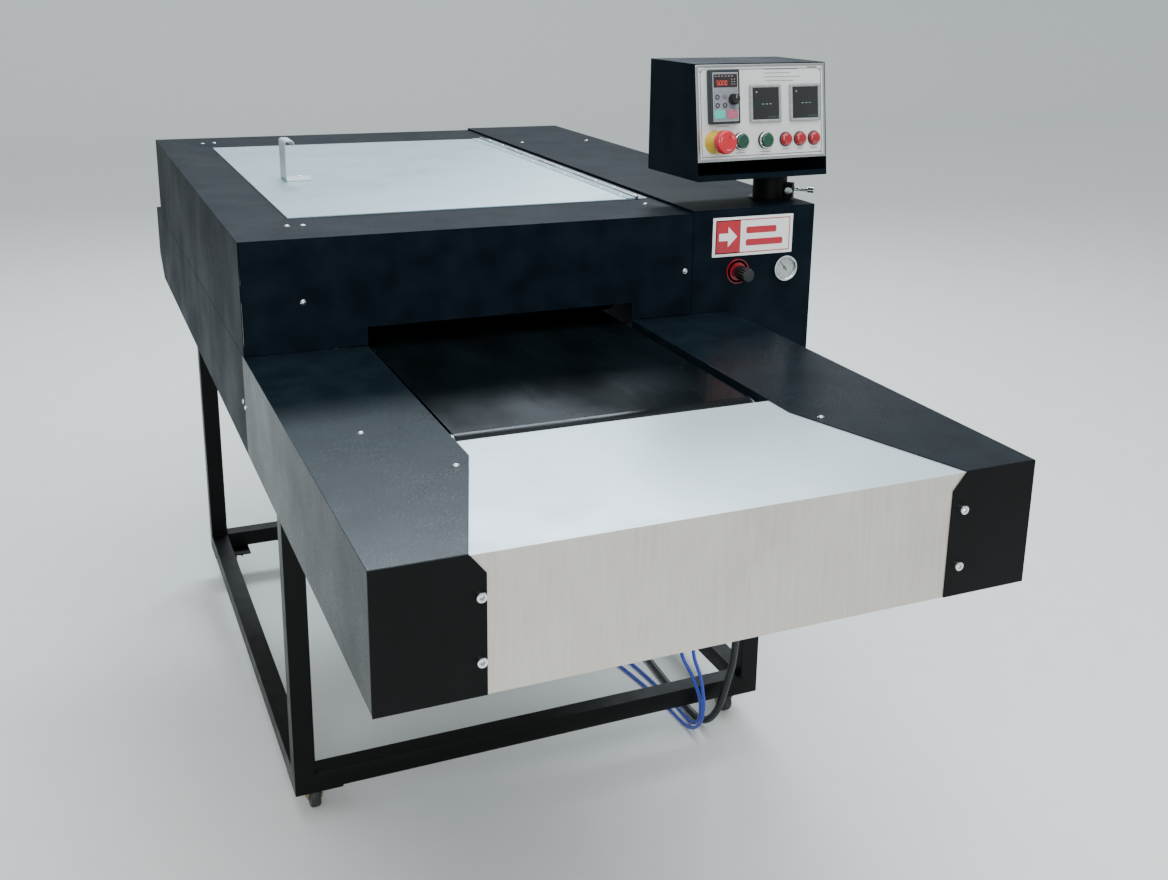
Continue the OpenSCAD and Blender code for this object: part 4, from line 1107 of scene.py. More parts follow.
@dataclass
class Cords(Part):
    """The two air hoses and the mains cable, with its coil, its plug and the fittings they leave by."""

    datum: Datum
    hose: float = 0.008
    cable: float = 0.016
    hose_left: tuple[tuple[float, float, float], ...] = (
        (848, 905, 776), (848, 905, 735), (849, 905, 660), (850, 905, 560), (852, 905, 450), (855, 905, 340),
        (859, 905, 262), (867, 905, 212), (880, 905, 183), (894, 905, 155), (907, 905, 120), (915, 905, 90),
        (919, 909, 62), (921, 919, 37), (923, 937, 18), (924, 960, 7), (925, 990, 4), (925, 1040, 4),
        (922, 1110, 4), (915, 1190, 4), (905, 1270, 4), (893, 1345, 4),
    )
    hose_right: tuple[tuple[float, float, float], ...] = (
        (874, 888, 776), (874, 888, 735), (874, 888, 660), (875, 888, 560), (876, 888, 450), (878, 888, 340),
        (881, 888, 270), (886, 888, 217), (896, 888, 185), (905, 888, 158), (911, 888, 125), (915, 888, 92),
        (915, 892, 64), (914, 901, 39), (912, 918, 20), (910, 941, 8), (908, 970, 4), (905, 1030, 4),
        (898, 1110, 4), (887, 1190, 4), (873, 1270, 4), (858, 1340, 4),
    )
    cable_route: tuple[tuple[float, float, float], ...] = (
        (985, 893, 736), (985, 893, 690), (986, 893, 600), (988, 893, 500), (990, 893, 400), (991, 893, 310),
        (989, 893, 230), (984, 893, 175), (974, 893, 135), (963, 893, 98), (955, 900, 64), (949, 918, 35),
        (945, 946, 15), (943, 982, 8), (943, 1050, 8), (947, 1140, 8), (952, 1240, 8), (954, 1340, 8),
        (954, 1430, 8), (954, 1500, 8),
    )

    def line(self, name: str, path: Array, width: float, finish: Finish) -> bpy.types.Object:
        """A round curve along a path, in its finish."""
        data = bpy.data.curves.new(name, "CURVE")
        data.dimensions = "3D"
        data.bevel_depth = width / 2
        data.bevel_resolution = 4
        data.use_fill_caps = True
        spline = data.splines.new("POLY")
        spline.points.add(len(path) - 1)
        spline.points.foreach_set("co", np.column_stack([path, np.ones(len(path))]).ravel())
        spline.use_smooth = True
        data.materials.append(finish.material())
        made = bpy.data.objects.new(name, data)
        bpy.context.scene.collection.objects.link(made)
        return made

    def coil(self) -> Array:
        """Four turns about the coil's middle: two drawing in on the floor, then two drawing out on top.

        The radius falls by one diameter a turn on the lower layer and grows again on the upper one; between
        them the cable climbs one diameter over a sixth of a turn.
        """
        low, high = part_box("mains_coil")
        middle = (np.array(low) + np.array(high)) / 2
        outer = (high.x - low.x) / 2 - self.cable / 2
        inner = outer - 2 * self.cable
        turn = np.linspace(0, 8 * math.pi, 192)[1:]
        share = np.where(turn < 4 * math.pi, turn / (4 * math.pi), 1)
        back = np.clip((turn - 4.33 * math.pi) / (3.67 * math.pi), 0, 1)
        radius = outer + (inner - outer) * (share - back)
        climb = np.clip((turn - 4 * math.pi) / (math.pi / 3), 0, 1)
        level = self.cable * (0.5 + climb * climb * (3 - 2 * climb))
        return np.column_stack([middle[0] + radius * np.cos(turn), middle[1] + radius * np.sin(turn), level])

    def hoses(self) -> None:
        """Two polyurethane air hoses that hang from their fittings and lie on the floor."""
        for name, node, points in (
            ("air_hose_1", "air_hose_left", self.hose_left), ("air_hose_2", "air_hose_right", self.hose_right)
        ):
            path = smooth_route(self.datum.floor_route(points))
            piece = self.line(name, path, self.hose, HOSE_BLUE)
            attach(piece, "machine")
            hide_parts(node)

    def mains(self) -> None:
        """The rubber mains cable from its gland to the floor, round its coil and into its plug."""
        run = smooth_route(self.datum.floor_route(self.cable_route))
        low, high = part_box("mains_plug")
        tail = np.array([(low.x + high.x) / 2, low.y, (low.z + high.z) / 2])
        coil = self.coil()
        last = np.linspace(coil[-1], tail + (0, 0.004, 0), 6)[1:]
        path = np.vstack([run, coil, last])
        piece = self.line("mains_lead", path, self.cable, SHEATH)
        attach(piece, "machine")
        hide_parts("mains_cable", "mains_coil")
        plug = self.plug(tail, high)
        self.tie(coil)

    def plug(self, tail: Array, high: Vector) -> list[bpy.types.Object]:
        """The moulded plug: a ribbed tail, a grip that swells to the face, and three round pins."""
        radius = high.x - tail[0]
        reach = high.y - tail[1]
        face = reach - 0.02
        ribs = np.linspace(0, 0.03, 13)
        ridge = 0.009 + 0.0045 * ribs / 0.03 + 0.0009 * np.cos(np.arange(13) * math.pi)
        profile = [
            (0, 0), *zip(ridge, ribs), (radius - 0.008, 0.036), (radius - 0.001, 0.044), (radius, 0.05)
        ]
        profile += [
            (radius, face - 0.003), (radius - 0.0008, face - 0.0008), (radius - 0.003, face), (0, face)
        ]
        grip = shell("mains_plug_body", moved(lathe_rings(profile, 48, 0.0008, 16), tail, Facing.BACK.value))
        self.dress(grip, BLACK_PLASTIC, "machine", "cable_black", ["mains_plug"])
        pins = []
        for turn in np.linspace(0, 2 * math.pi, 3, endpoint=False) + math.pi / 2:
            pin = lathe_rings([(0, 0), (0.003, 0), (0.003, 0.0185), (0.0022, 0.02), (0, 0.02)], 16)
            at = tail + (0.011 * math.cos(turn), face - 0.0002, 0.011 * math.sin(turn))
            pins.append(shell("pin", moved(pin, at, Facing.BACK.value)))
        return [grip, self.dress(joined("mains_plug_pins", pins), CHROME, "machine", "cable_black")]

    def tie(self, coil: Array) -> bpy.types.Object:
        """A strap round the coil's section, on its left, which holds the turns together."""
        low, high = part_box("mains_coil")
        middle = (np.array(low) + np.array(high)) / 2
        outer = (high.x - low.x) / 2
        width = 3 * self.cable - 0.001
        strip = frame_rings(
            width, high.z - 0.0004, 0.006, np.array([(0, 0), (0, 0.012), (0.001, 0.012), (0.001, 0)])
        )
        at = (middle[0] - outer + width / 2 + 0.0005, middle[1] - 0.006, high.z / 2)
        strap = shell("coil_tie", moved(strip, at, Facing.BACK.value), closed=True)
        return self.dress(strap, BLACK_PLASTIC, "machine", "cable_black")

    def build(self) -> None:
        """Makes the hoses, the mains cable and their fittings."""
        self.hoses()
        self.mains()
        self.soften("glands", "cord_fittings", BLACK_PLASTIC, 0.5)


# ---------- body ----------


@dataclass
class Chassis(Part):
    """The welded tube frame on its four swivel casters."""

    weld_radius: float = 0.0028
    nut_half: float = 0.0065

    def welds(self) -> None:
        """Fillet welds where the cross tubes meet the legs: a thin bead with ripples along each joint.

        The bead's radius swells and shrinks by a fifth along its path.
        """
        low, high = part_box("base_frame")
        side = 0.04
        beads = []
        for x, inward in ((low.x, 1), (high.x, -1)):
            for y, onward in ((low.y, 1), (high.y, -1)):
                for z in (low.z + 0.004 + side, high.z - side):
                    for start, end in (
                        ((x + inward * side, y, z), (x + inward * side, y + onward * side, z)),
                        ((x, y + onward * side, z), (x + inward * side, y + onward * side, z)),
                    ):
                        path = np.linspace(start, end, 26)
                        swell = self.weld_radius * (1 + 0.2 * np.cos(np.arange(26) * 2.1))
                        beads.append(shell("bead", swept_rings(path, swell, 7), sharp_deg=80))
        self.dress(joined("frame_welds", beads), FRAME_BLACK, "machine", "painted_frame")

    def caster_bolts(self) -> None:
        """Four bolts with hexagon nuts on each caster's top plate."""
        bolts = []
        for low, high in separate_bodies("caster_tops"):
            middle = (low + high) / 2
            for across in (-1, 1):
                for along in (-1, 1):
                    at = (middle[0] + across * 0.025, middle[1] + along * 0.025, high[2] - 0.0024)
                    nut = [
                        (0, 0), (self.nut_half, 0), (self.nut_half, 0.004), (self.nut_half - 0.001, 0.005),
                        (0, 0.005)
                    ]
                    bolts.append(shell("nut", moved(lathe_rings(nut, 6), at, Facing.DOWN.value)))
                    tip = [(0, 0), (0.0035, 0), (0.0035, 0.008), (0.0028, 0.009), (0, 0.009)]
                    bolts.append(shell("tip", moved(lathe_rings(tip, 14), at, Facing.DOWN.value)))
        self.dress(joined("caster_bolts", bolts), ZINC, "machine", "zinc_plate")

    def wheel(self, corner: str) -> None:
        """One wheel: a rounded tread on a hub with a raised rim and a recessed web."""
        node = f"caster_wheel_{corner}"
        low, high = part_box(node)
        radius, half = (high.z - low.z) / 2, (high.x - low.x) / 2
        turn = np.linspace(-1, 1, 9)
        crown = np.column_stack([radius - 0.0022 * turn**4, turn * (half - 0.0006)])
        hub = radius - 0.0065
        tread = [(hub, -half + 0.001), *crown, (hub, half - 0.001)]
        side = [(hub, half - 0.001), (hub - 0.001, half), (hub - 0.003, half), (hub - 0.0045, half - 0.003)]
        side += [(0.008, half - 0.003), (0.007, half), (0.0042, half)]
        core = [*side, *[(r, -z) for r, z in side[::-1]]]
        middle = box_middle(node)
        body = f"wheel_{corner}"
        rubber = shell(
            f"caster_tread_{corner}", moved(lathe_rings(tread, 56), middle, Facing.RIGHT.value), closed=True
        )
        self.dress(rubber, TREAD, body, "wheel_rubber", [node])
        rim = shell(
            f"caster_hub_{corner}", moved(lathe_rings(core, 40), middle, Facing.RIGHT.value), closed=True
        )
        self.dress(rim, IRON, body, "wheel_rubber")

    def build(self) -> None:
        """Makes the frame, its welds and its casters."""
        self.soften("base_frame", "welded_tube_frame", FRAME_BLACK, 1.2)
        self.soften("caster_tops", "caster_plates", ZINC, 0.4)
        self.welds()
        self.caster_bolts()
        for corner in ("fl", "fr", "rl", "rr"):
            self.soften(f"caster_fork_{corner}", f"caster_fork_plate_{corner}", ZINC, 0.6)
            self.wheel(corner)


@dataclass
class SheetCovers(Part):
    """The folded, powder-coated covers of the body, with black end plates and the pale feed table."""

    fold_mm: float = 0.7

    def feed_table(self) -> None:
        """The table's sheet: satin on top, with the brushing upright on its front apron; the top's cool
        blue-white and the apron's warm beige are painted reflection on one stainless sheet.
        """
        table = self.soften("feed_table", "feed_table_sheet", TABLE_TOP_PAINTED_COOL_REFLECTION, self.fold_mm, 3)
        table.data.materials.append(APRON_PAINTED_WARM_REFLECTION.material())
        count = len(table.data.polygons)
        normal = np.empty(count * 3)
        table.data.polygons.foreach_get("normal", normal)
        upright = np.abs(normal.reshape(-1, 3)[:, 2]) < 0.5
        # Upright faces take the apron finish, with its painted warm reflection.
        table.data.polygons.foreach_set("material_index", upright.astype(np.int32))

    def build(self) -> None:
        """Softens every cover's folds and coats it."""
        for node, name in (
            ("hood", "hood_cover"), ("lower_cover", "tail_cover"), ("cabinet_shell", "cabinet_cover"),
            ("cabinet_front", "cabinet_face"),
        ):
            self.soften(node, name, POWDER, self.fold_mm, 3)
        for node, name in (("arm_cover_left", "left_arm_cover"), ("arm_cover_right", "right_arm_cover")):
            self.soften(node, name, POWDER_COARSE, self.fold_mm, 3)
        self.soften("end_plates", "arm_end_plates", PLATE_BLACK, 0.9, 3)
        self.feed_table()


@dataclass
class Lid(Part):
    """The pale hinged lid with its folded handle and its piano hinge."""

    strip: float = 0.002
    bend: float = 0.0035
    lip_drop: float = 0.011

    def handle(self) -> None:
        """A strip folded from a foot on the lid, straight up, over and down in a short lip."""
        low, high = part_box("lid_handle")
        half = self.strip / 2
        lip = low.x + 0.02 - half
        corners = np.array([
            (high.x, low.z + half), (low.x + half, low.z + half), (low.x + half, high.z - half),
            (lip, high.z - half), (lip, high.z - self.lip_drop),
        ])
        outline = bent_strip(corners, self.strip, self.bend)
        ends = np.array([low.y, low.y + 0.0004, high.y - 0.0004, high.y])
        rings = np.stack([
            np.column_stack([outline[:, 0], np.full(len(outline), y), outline[:, 1]]) for y in ends
        ])
        handle = shell("lid_pull", rings, sharp_deg=50)
        self.dress(handle, HANDLE_SATIN, "lid", "lid_paint", ["lid_handle"])
        heads = [
            pan_head("screw", (high.x - 0.022, y, low.z + self.strip), Facing.UP, 0.0042)
            for y in (low.y + 0.016, high.y - 0.016)
        ]
        self.dress(joined("lid_pull_screws", heads), CHROME, "lid", "chrome_parts")

    def hinge_screws(self) -> None:
        """Pan-head screws along both leaves of the hinge."""
        low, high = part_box("lid_hinge")
        lid_low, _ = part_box("hood_lid")
        along = np.linspace(low.y + 0.04, high.y - 0.04, 10)
        leaf_x = high.x - 0.009
        fixed = [pan_head("screw", (leaf_x, y, low.z + 0.0012), Facing.UP, 0.0032, 0.0012) for y in along]
        self.dress(joined("hinge_body_screws", fixed), CHROME, "machine", "chrome_parts")
        lid_x = low.x - 0.014
        top = lid_low.z + 0.0032
        moving = [pan_head("screw", (lid_x, y, top), Facing.UP, 0.0032, 0.0012) for y in along]
        self.dress(joined("hinge_lid_screws", moving), CHROME, "lid", "chrome_parts")

    def build(self) -> None:
        """Makes the lid, its handle and its hinge."""
        self.soften("hood_lid", "lid_sheet", LID_SATIN, 0.6, 3)
        self.soften("lid_hinge", "piano_hinge", STEEL, 0.25)
        self.handle()
        self.hinge_screws()


HANDLE_SATIN = Brushed("satin_handle_sheet", "#d3dce0", "#bfcad0", 0.3, (1, 1, 0.05), 2, 0.01, 0.5)


def polygon_ring(radius: float, level: float, steps: int, sides: int) -> Array:
    """One ring about z: a circle, or with sides a polygon whose corners lie on that radius."""
    turn = np.linspace(0, 2 * math.pi, steps, endpoint=False)
    reach = np.full(steps, radius)
    if sides:
        part = 2 * math.pi / sides
        reach = radius * math.cos(part / 2) / np.cos(turn % part - part / 2)
    return np.column_stack([reach * np.cos(turn), reach * np.sin(turn), np.full(steps, level)])


def recessed_head(
    name: str, at: Sequence[float], facing: Facing, profile: Sequence[
        tuple[float, float]
    ], recess: float, sides: int,
    floor: float,
) -> bpy.types.Object:
    """A screw head: circles up its profile, then a polygonal recess that goes back down to a floor."""
    steps = 24
    rings = [polygon_ring(radius, level, steps, 0) for radius, level in profile]
    top = profile[-1][1]
    rings += [polygon_ring(recess, top, steps, sides), polygon_ring(recess, floor, steps, sides)]
    rings.append(polygon_ring(recess * 0.3, floor - 0.0003, steps, sides))
    return shell(name, moved(np.array(rings), at, facing.value), sharp_deg=30)


def pan_head(
    name: str, at: Sequence[float], facing: Facing, radius: float, height: float = 0.0025
) -> bpy.types.Object:
    """A low domed head with a square driver recess: its radius follows a quarter of an ellipse."""
    turn = np.linspace(0, 1.25, 6)
    dome = [(radius * math.cos(t), height * (0.25 + 0.75 * math.sin(t) / math.sin(1.25))) for t in turn]
    return recessed_head(name, at, facing, [(radius, 0), *dome], radius * 0.26, 4, height * 0.45)


def socket_head(
    name: str, at: Sequence[float], facing: Facing, radius: float, height: float
) -> bpy.types.Object:
    """A cylinder head with a rolled edge and a hexagon socket."""
    edge = radius * 0.14
    profile = [
        (radius, 0), (radius, height - edge), (radius - edge * 0.3, height - edge * 0.3),
        (radius - edge, height)
    ]
    return recessed_head(name, at, facing, profile, radius * 0.55, 6, height * 0.35)


@dataclass
class Fixings(Part):
    """The screws of the covers, each where the design has it and facing the way it was driven."""

    washer: float = 0.0012

    def build(self) -> None:
        """Makes a socket head where a screw is long and wide, and a pan head on a washer elsewhere.

        A screw's axis is the side of its box that differs from the other two.
        """
        heads = []
        for low, high in separate_bodies("cover_screws"):
            size = high - low
            odd = int(np.argmax([abs(2 * size[i] - size.sum() + size[i]) for i in range(3)]))
            facing = (Facing.LEFT, Facing.FRONT, Facing.UP)[odd]
            middle = (low + high) / 2
            width = size[(odd + 1) % 3]
            if width > 0.0125:
                middle[odd] = low[odd] + 0.006
                heads.append(socket_head("head", middle, facing, width / 2, 0.006))
                continue
            middle[odd] = high[odd] - 0.003 if odd == 2 else low[odd] + 0.003
            disc = lathe_rings(
                [
                    (0, 0), (width / 2, 0), (width / 2, self.washer - 0.0003),
                    (width / 2 - 0.0004, self.washer), (0, self.washer)
                ],
                28
            )
            heads.append(shell("washer", moved(disc, middle, facing.value)))
            raised = middle + self.washer * np.array(facing.value.to_3x3() @ Vector((0, 0, 1)))
            heads.append(pan_head("head", raised, facing, width / 2 - 0.0012, 0.003 - self.washer))
        self.dress(joined("cover_screw_heads", heads), CHROME, "machine", "chrome_parts", ["cover_screws"])


@dataclass
class Conveyor(Part):
    """The belts, the rollers and the works inside the body."""

    def build(self) -> None:
        """Finishes the belts and the hidden machinery."""
        paint(BELT, "lower_belt", "upper_belt")
        paint(
            TURNED, "front_roller", "rear_roller", "upper_front_roller", "upper_rear_roller", "counter_roller"
        )
        paint(STEEL, "press_carriage", "motor_sprocket", "drive_chain")
        paint(IRON, "roller_bearings")
        paint(SILICONE, "press_roller")
        paint(ALUMINIUM, "press_cylinders", "heater_plates")
        paint(MOTOR_BLUE, "gear_motor")
        self.soften("conveyor_frame", "conveyor_side_plates", SIDE_STEEL, 0.6)


SIDE_STEEL = Enamel("side_plate_primer", "#2a2d31", "#1f2225", 0.45, 0.1, 5, 0.03)


# ---------- controls ----------


@dataclass
class ControlHead(Part):
    """The box on its post, with the white panel and everything that is set in it."""

    panel: PanelFrame
    trim: float = 0.0045
    trim_rise: float = 0.0012

    def piece(
        self, name: str, rings: Array, finish: Finish, body: str = "control_head", slot: str = "panel_white",
        replaces: Sequence[str] = (), closed: bool = False, sharp_deg: float = 35,
    ) -> bpy.types.Object:
        """One shell in panel coordinates, finished and carried."""
        made = shell(name, self.panel.place(rings), closed, sharp_deg)
        return self.dress(made, finish, body, slot, replaces)

    def group(
        self, name: str, sets: Sequence[Array], finish: Finish, slot: str = "panel_white",
        replaces: Sequence[str] = (), closed: bool = False, body: str = "control_head",
    ) -> bpy.types.Object:
        """Several shells in panel coordinates, joined into one piece."""
        made = [shell("part", self.panel.place(rings), closed) for rings in sets]
        return self.dress(joined(name, made), finish, body, slot, replaces)

    def flat(
        self, width: float, height: float, at: Sequence[float], depth: float, corner: float = 0.001
    ) -> Array:
        """Rings of a thin rounded plate whose middle is at u, v and whose back is at w."""
        return block_rings(width, height, depth, corner, min(depth * 0.5, 0.0006)) + at

    def rim(
        self, width: float, height: float, at: Sequence[float], wide: float, tall: float, corner: float
    ) -> Array:
        """Rings of a raised frame, for a closed shell: up its outer wall, over and down its inner wall."""
        soft = min(wide, tall) * 0.3
        profile = np.array(
            [(0, 0), (0, tall - soft), (soft, tall), (wide - soft, tall), (wide, tall - soft), (wide, 0)]
        )
        return frame_rings(width, height, corner, profile) + at

    def face(self) -> None:
        """The white plate, its aluminium edge, a dark line inside that, its screws and its plain bars."""
        low, high = self.panel.box("control_panel")
        width, height = high[0] - low[0], high[1] - low[1]
        middle = ((low[0] + high[0]) / 2, (low[1] + high[1]) / 2, 0)
        self.soften("control_panel", "panel_plate", WHITE_PLATE, 0.3)
        rim = self.rim(width - 0.0008, height - 0.0008, middle, self.trim, self.trim_rise, 0.002)
        self.piece("panel_edge", rim, ALUMINIUM, closed=True)
        line = self.rim(width - 0.017, height - 0.017, middle, 0.0011, 0.0003, 0.004)
        self.piece("panel_border_line", line, INK_BLACK, closed=True)
        heads = []
        for across in (low[0] + 0.0105, high[0] - 0.0105):
            for up in (low[1] + 0.0105, high[1] - 0.0105):
                spot = lathe_rings(
                    [
                        (0, 0), (0.0036, 0), (0.0036, 0.0008), (0.0028, 0.0019), (0.0012, 0.0022),
                        (0.0011, 0.0012), (0, 0.0012)
                    ],
                    24
                )
                heads.append(spot + (across, up, 0))
        self.group("panel_screws", heads, CHROME, "chrome_parts")
        key_low, key_high = self.panel.box("speed_keypad")
        _, ctrl_high = self.panel.box("temperature_controllers")
        start = key_high[0] + 0.062
        rows = [
            (start + 0.04, ctrl_high[1] + 0.028, 0.078, 0.0016),
            (start + 0.031, ctrl_high[1] + 0.021, 0.06, 0.0014)
        ]
        rows += [
            (start + 0.043, ctrl_high[1] + 0.014, 0.084, 0.0014),
            (start + 0.035, ctrl_high[1] + 0.0065, 0.066, 0.0014)
        ]
        rows += [
            (high[0] - 0.03, ctrl_high[1] + 0.031, 0.022, 0.002),
            ((key_low[0] + key_high[0]) / 2, key_low[1] - 0.004, 0.03, 0.0014)
        ]
        for node, wide in (("start_button", 0.022), ("heat_button", 0.026)):
            at = self.middle(node)
            rows.append((at[0], at[1] - 0.0215, wide, 0.0016))
        for at in self.lamp_places():
            rows.append((at, self.middle("pilot_lamps")[1] - 0.0185, 0.016, 0.0014))
        self.group("panel_plain_bars", flat_strokes(rows, 0.0002), INK_GREY)

    def middle(self, node: str) -> Array:
        """The middle of a node's extent in u, v and w."""
        low, high = self.panel.box(node)
        return (low + high) / 2

    def lamp_places(self) -> Array:
        """The lamps' middles in u: one lamp's radius in from each end, and halfway between."""
        low, high = self.panel.box("pilot_lamps")
        radius = (high[1] - low[1]) / 2
        return np.linspace(low[0] + radius, high[0] - radius, 3)

    def keypad(self) -> None:
        """The drive's keypad: a slate body, a grey face, a smoked display and its keys."""
        low, high = self.panel.box("speed_keypad")
        width, height, depth = high - low
        depth = high[2]
        middle = ((low[0] + high[0]) / 2, (low[1] + high[1]) / 2, 0)
        self.piece(
            "keypad_body", block_rings(width, height, depth - 0.0006, 0.003, 0.0015) + middle, NAVY_PLASTIC,
            slot="device_black", replaces=["speed_keypad"],
        )
        level = depth - 0.0008
        face_w, face_h = width - 0.009, height - 0.01
        left, foot = middle[0] - face_w / 2, middle[1] - face_h / 2
        self.piece(
            "keypad_face", self.flat(face_w, face_h, (*middle[:2], level), 0.0005), GREY_FACE,
            slot="device_black"
        )
        line = self.rim(face_w, face_h, (*middle[:2], level), 0.0009, 0.0007, 0.001)
        self.piece("keypad_face_line", line, INK_PALE, slot="device_black", closed=True)
        screen_at = (left + face_w / 2, foot + face_h * 0.83, level + 0.0003)
        self.piece(
            "keypad_screen", self.flat(face_w * 0.94, face_h * 0.27, screen_at, 0.0004), DISPLAY,
            slot="device_black"
        )
        digits = digit_strokes("5000", face_h * 0.085)
        shift = (left + face_w * 0.16, foot + face_h * 0.745, level + 0.0006)
        self.group(
            "keypad_digits", [r + shift for r in flat_strokes(digits, 0.0002)], DIGIT_RED, "device_black"
        )
        dots = [
            (
                left + face_w * (0.12 + 0.13 * i), foot + face_h * 0.925, face_w * 0.07, face_h * 0.018
            ) for i in range(6)
        ]
        dots += [
            (
                left + face_w * (0.76 + 0.1 * (i % 2)), foot + face_h * (0.76 + 0.05 * (i // 2)),
                face_w * 0.05, face_h * 0.016
            ) for i in range(6)
        ]
        self.group(
            "keypad_marks", [r + (0, 0, level + 0.0006) for r in flat_strokes(dots, 0.0002)], INK_GREY,
            "device_black"
        )
        self.keys(left, foot, face_w, face_h, level)

    def keys(self, left: float, foot: float, width: float, height: float, level: float) -> None:
        """Ring keys, a plain pad key and the two wide keys along the foot."""
        ring_r = width * 0.085
        rings, pads = [], []
        for across, up in ((0.17, 0.5), (0.17, 0.33), (0.46, 0.33)):
            at = (left + width * across, foot + height * up, level + 0.0004)
            profile = [
                (ring_r * 0.55, 0), (ring_r, 0), (ring_r, 0.0005), (ring_r * 0.8, 0.0009),
                (ring_r * 0.55, 0.0005)
            ]
            rings.append(lathe_rings(profile, 28) + at)
        for across, up in ((0.46, 0.5), (0.78, 0.3)):
            pads.append(
                self.flat(
                    width * 0.2, height * 0.09, (left + width * across, foot + height * up, level + 0.0004),
                    0.0006, 0.002
                )
            )
        self.group("keypad_ring_keys", rings, INK_BLACK, "device_black", closed=True)
        self.group("keypad_pad_keys", pads, KEY_GREY, "device_black")
        foot_v = foot + height * 0.145
        for name, across, finish in (
            ("keypad_run_key", 0.25, KEY_CYAN), ("keypad_halt_key", 0.745, KEY_PINK)
        ):
            rings_at = self.flat(
                width * 0.43, height * 0.17, (left + width * across, foot_v, level + 0.0004), 0.0007, 0.001
            )
            self.piece(name, rings_at, finish, slot="device_black")

    def speed_knob(self) -> None:
        """The fluted speed knob: its side is a circle with twenty shallow flutes, under a dished top."""
        low, high = self.panel.box("speed_knob")
        radius = (high[0] - low[0]) / 2
        middle = self.middle("speed_knob")
        base = self.panel.box("speed_keypad")[1][2] + 0.0005
        top = high[2]
        profile = [
            (0, base), (radius, base), (radius, top - 0.004), (radius * 0.9, top - 0.0012),
            (radius * 0.8, top), (radius * 0.5, top - 0.0008), (0, top - 0.001)
        ]
        rings = lathe_rings(profile, 80, 0.0011, 20) + (middle[0], middle[1], 0)
        self.piece("speed_knob_cap", rings, BLACK_PLASTIC, "speed", "device_black", ["speed_knob"])
        mark = self.flat(
            0.0011, radius * 0.7, (middle[0], middle[1] + radius * 0.45, top - 0.0006), 0.0007, 0.0004
        )
        self.piece("speed_knob_mark", mark, INK_PALE, "speed", "device_black")

    def controllers(self) -> None:
        """Two square controllers: a silver bezel, a black window, dim dashes and small keys."""
        low, high = self.panel.box("temperature_controllers")
        side = high[1] - low[1]
        proud = high[2]
        up = (low[1] + high[1]) / 2
        bezels, windows, cases, dashes, keys, buttons = [], [], [], [], [], []
        for across in (low[0] + side / 2, high[0] - side / 2):
            bezels.append(self.rim(side, side, (across, up, 0), 0.0058, proud, 0.003))
            windows.append(self.flat(side - 0.011, side - 0.011, (across, up, 0), proud - 0.0022))
            case = block_rings(side - 0.005, side - 0.005, 0.06, 0.002, 0.001) * (1, 1, -1)
            cases.append(case[::-1] + (across, up, 0))
            for step in (-1, 0, 1):
                dashes.append((across + 0.002 + step * 0.0085, up - 0.001, 0.0045, 0.0013))
            for step in range(4):
                buttons.append((across + side * 0.1 + step * 0.0066, up - side * 0.36, 0.0045, 0.0024))
            keys.append((across - side * 0.29, up + side * 0.3, 0.0035, 0.0035))
        self.group("controller_cases", cases, BLACK_PLASTIC, "device_black", ["temperature_controllers"])
        self.group("controller_bezels", bezels, BEZEL_GREY, "device_black", closed=True)
        self.group("controller_windows", windows, GLASS_BLACK, "device_black")
        level = proud - 0.0023
        self.group(
            "controller_dashes", [r + (0, 0, level) for r in flat_strokes(dashes, 0.0003)], DIGIT_TEAL,
            "device_black"
        )
        self.group(
            "controller_keys", [r + (0, 0, level) for r in flat_strokes(buttons, 0.0009)], KEY_SLATE,
            "device_black"
        )
        self.group(
            "controller_signals", [r + (0, 0, level) for r in flat_strokes(keys, 0.0003)], INK_GREY,
            "device_black"
        )

    def stop(self) -> None:
        """The emergency stop: a red mushroom head over a yellow collar."""
        _, high = self.panel.box("stop_button")
        at = self.middle("stop_button")
        spot = (at[0], at[1], 0)
        radius = (self.panel.box("stop_button")[1][0] - self.panel.box("stop_button")[0][0]) / 2
        top = high[2]
        turn = np.linspace(0, math.pi / 2, 9)[1:]
        dome = [(radius - 0.006 + 0.006 * math.cos(t), top - 0.006 + 0.006 * math.sin(t)) for t in turn]
        skirt = top - 0.0165
        head = [
            (0, -0.014), (0.0102, -0.014), (0.0102, skirt + 0.002), (radius - 0.003, skirt),
            (radius - 0.0006, skirt + 0.001)
        ]
        head += [(radius, skirt + 0.003), (radius, top - 0.006), *dome, (0, top + 0.0 - 0.0002)]
        self.piece("stop_head", lathe_rings(head, 64) + spot, STOP_RED, "stop", "stop_red", ["stop_button"])
        collar_top = skirt - 0.0065
        collar = [
            (0.0145, 0), (radius, 0), (radius, 0.002), (radius - 0.001, 0.004),
            (radius - 0.0035, collar_top - 0.001), (radius - 0.0045, collar_top), (0.0115, collar_top),
            (0.0115, 0.002)
        ]
        self.piece("stop_collar", lathe_rings(collar, 64) + spot, COLLAR_YELLOW, slot="stop_red", closed=True)
        arrows = []
        for start in np.radians([20, 140, 260]):
            sweep = start + np.linspace(0, 1.1, 14)
            reach = radius - 0.0075
            path = np.column_stack([reach * np.cos(sweep), reach * np.sin(sweep), np.full(14, top - 0.0004)])
            arrows.append(swept_rings(path, np.linspace(0.0009, 0.0002, 14), 6) + spot)
        self.group("stop_turn_marks", arrows, INK_PALE, "stop_red", body="stop")

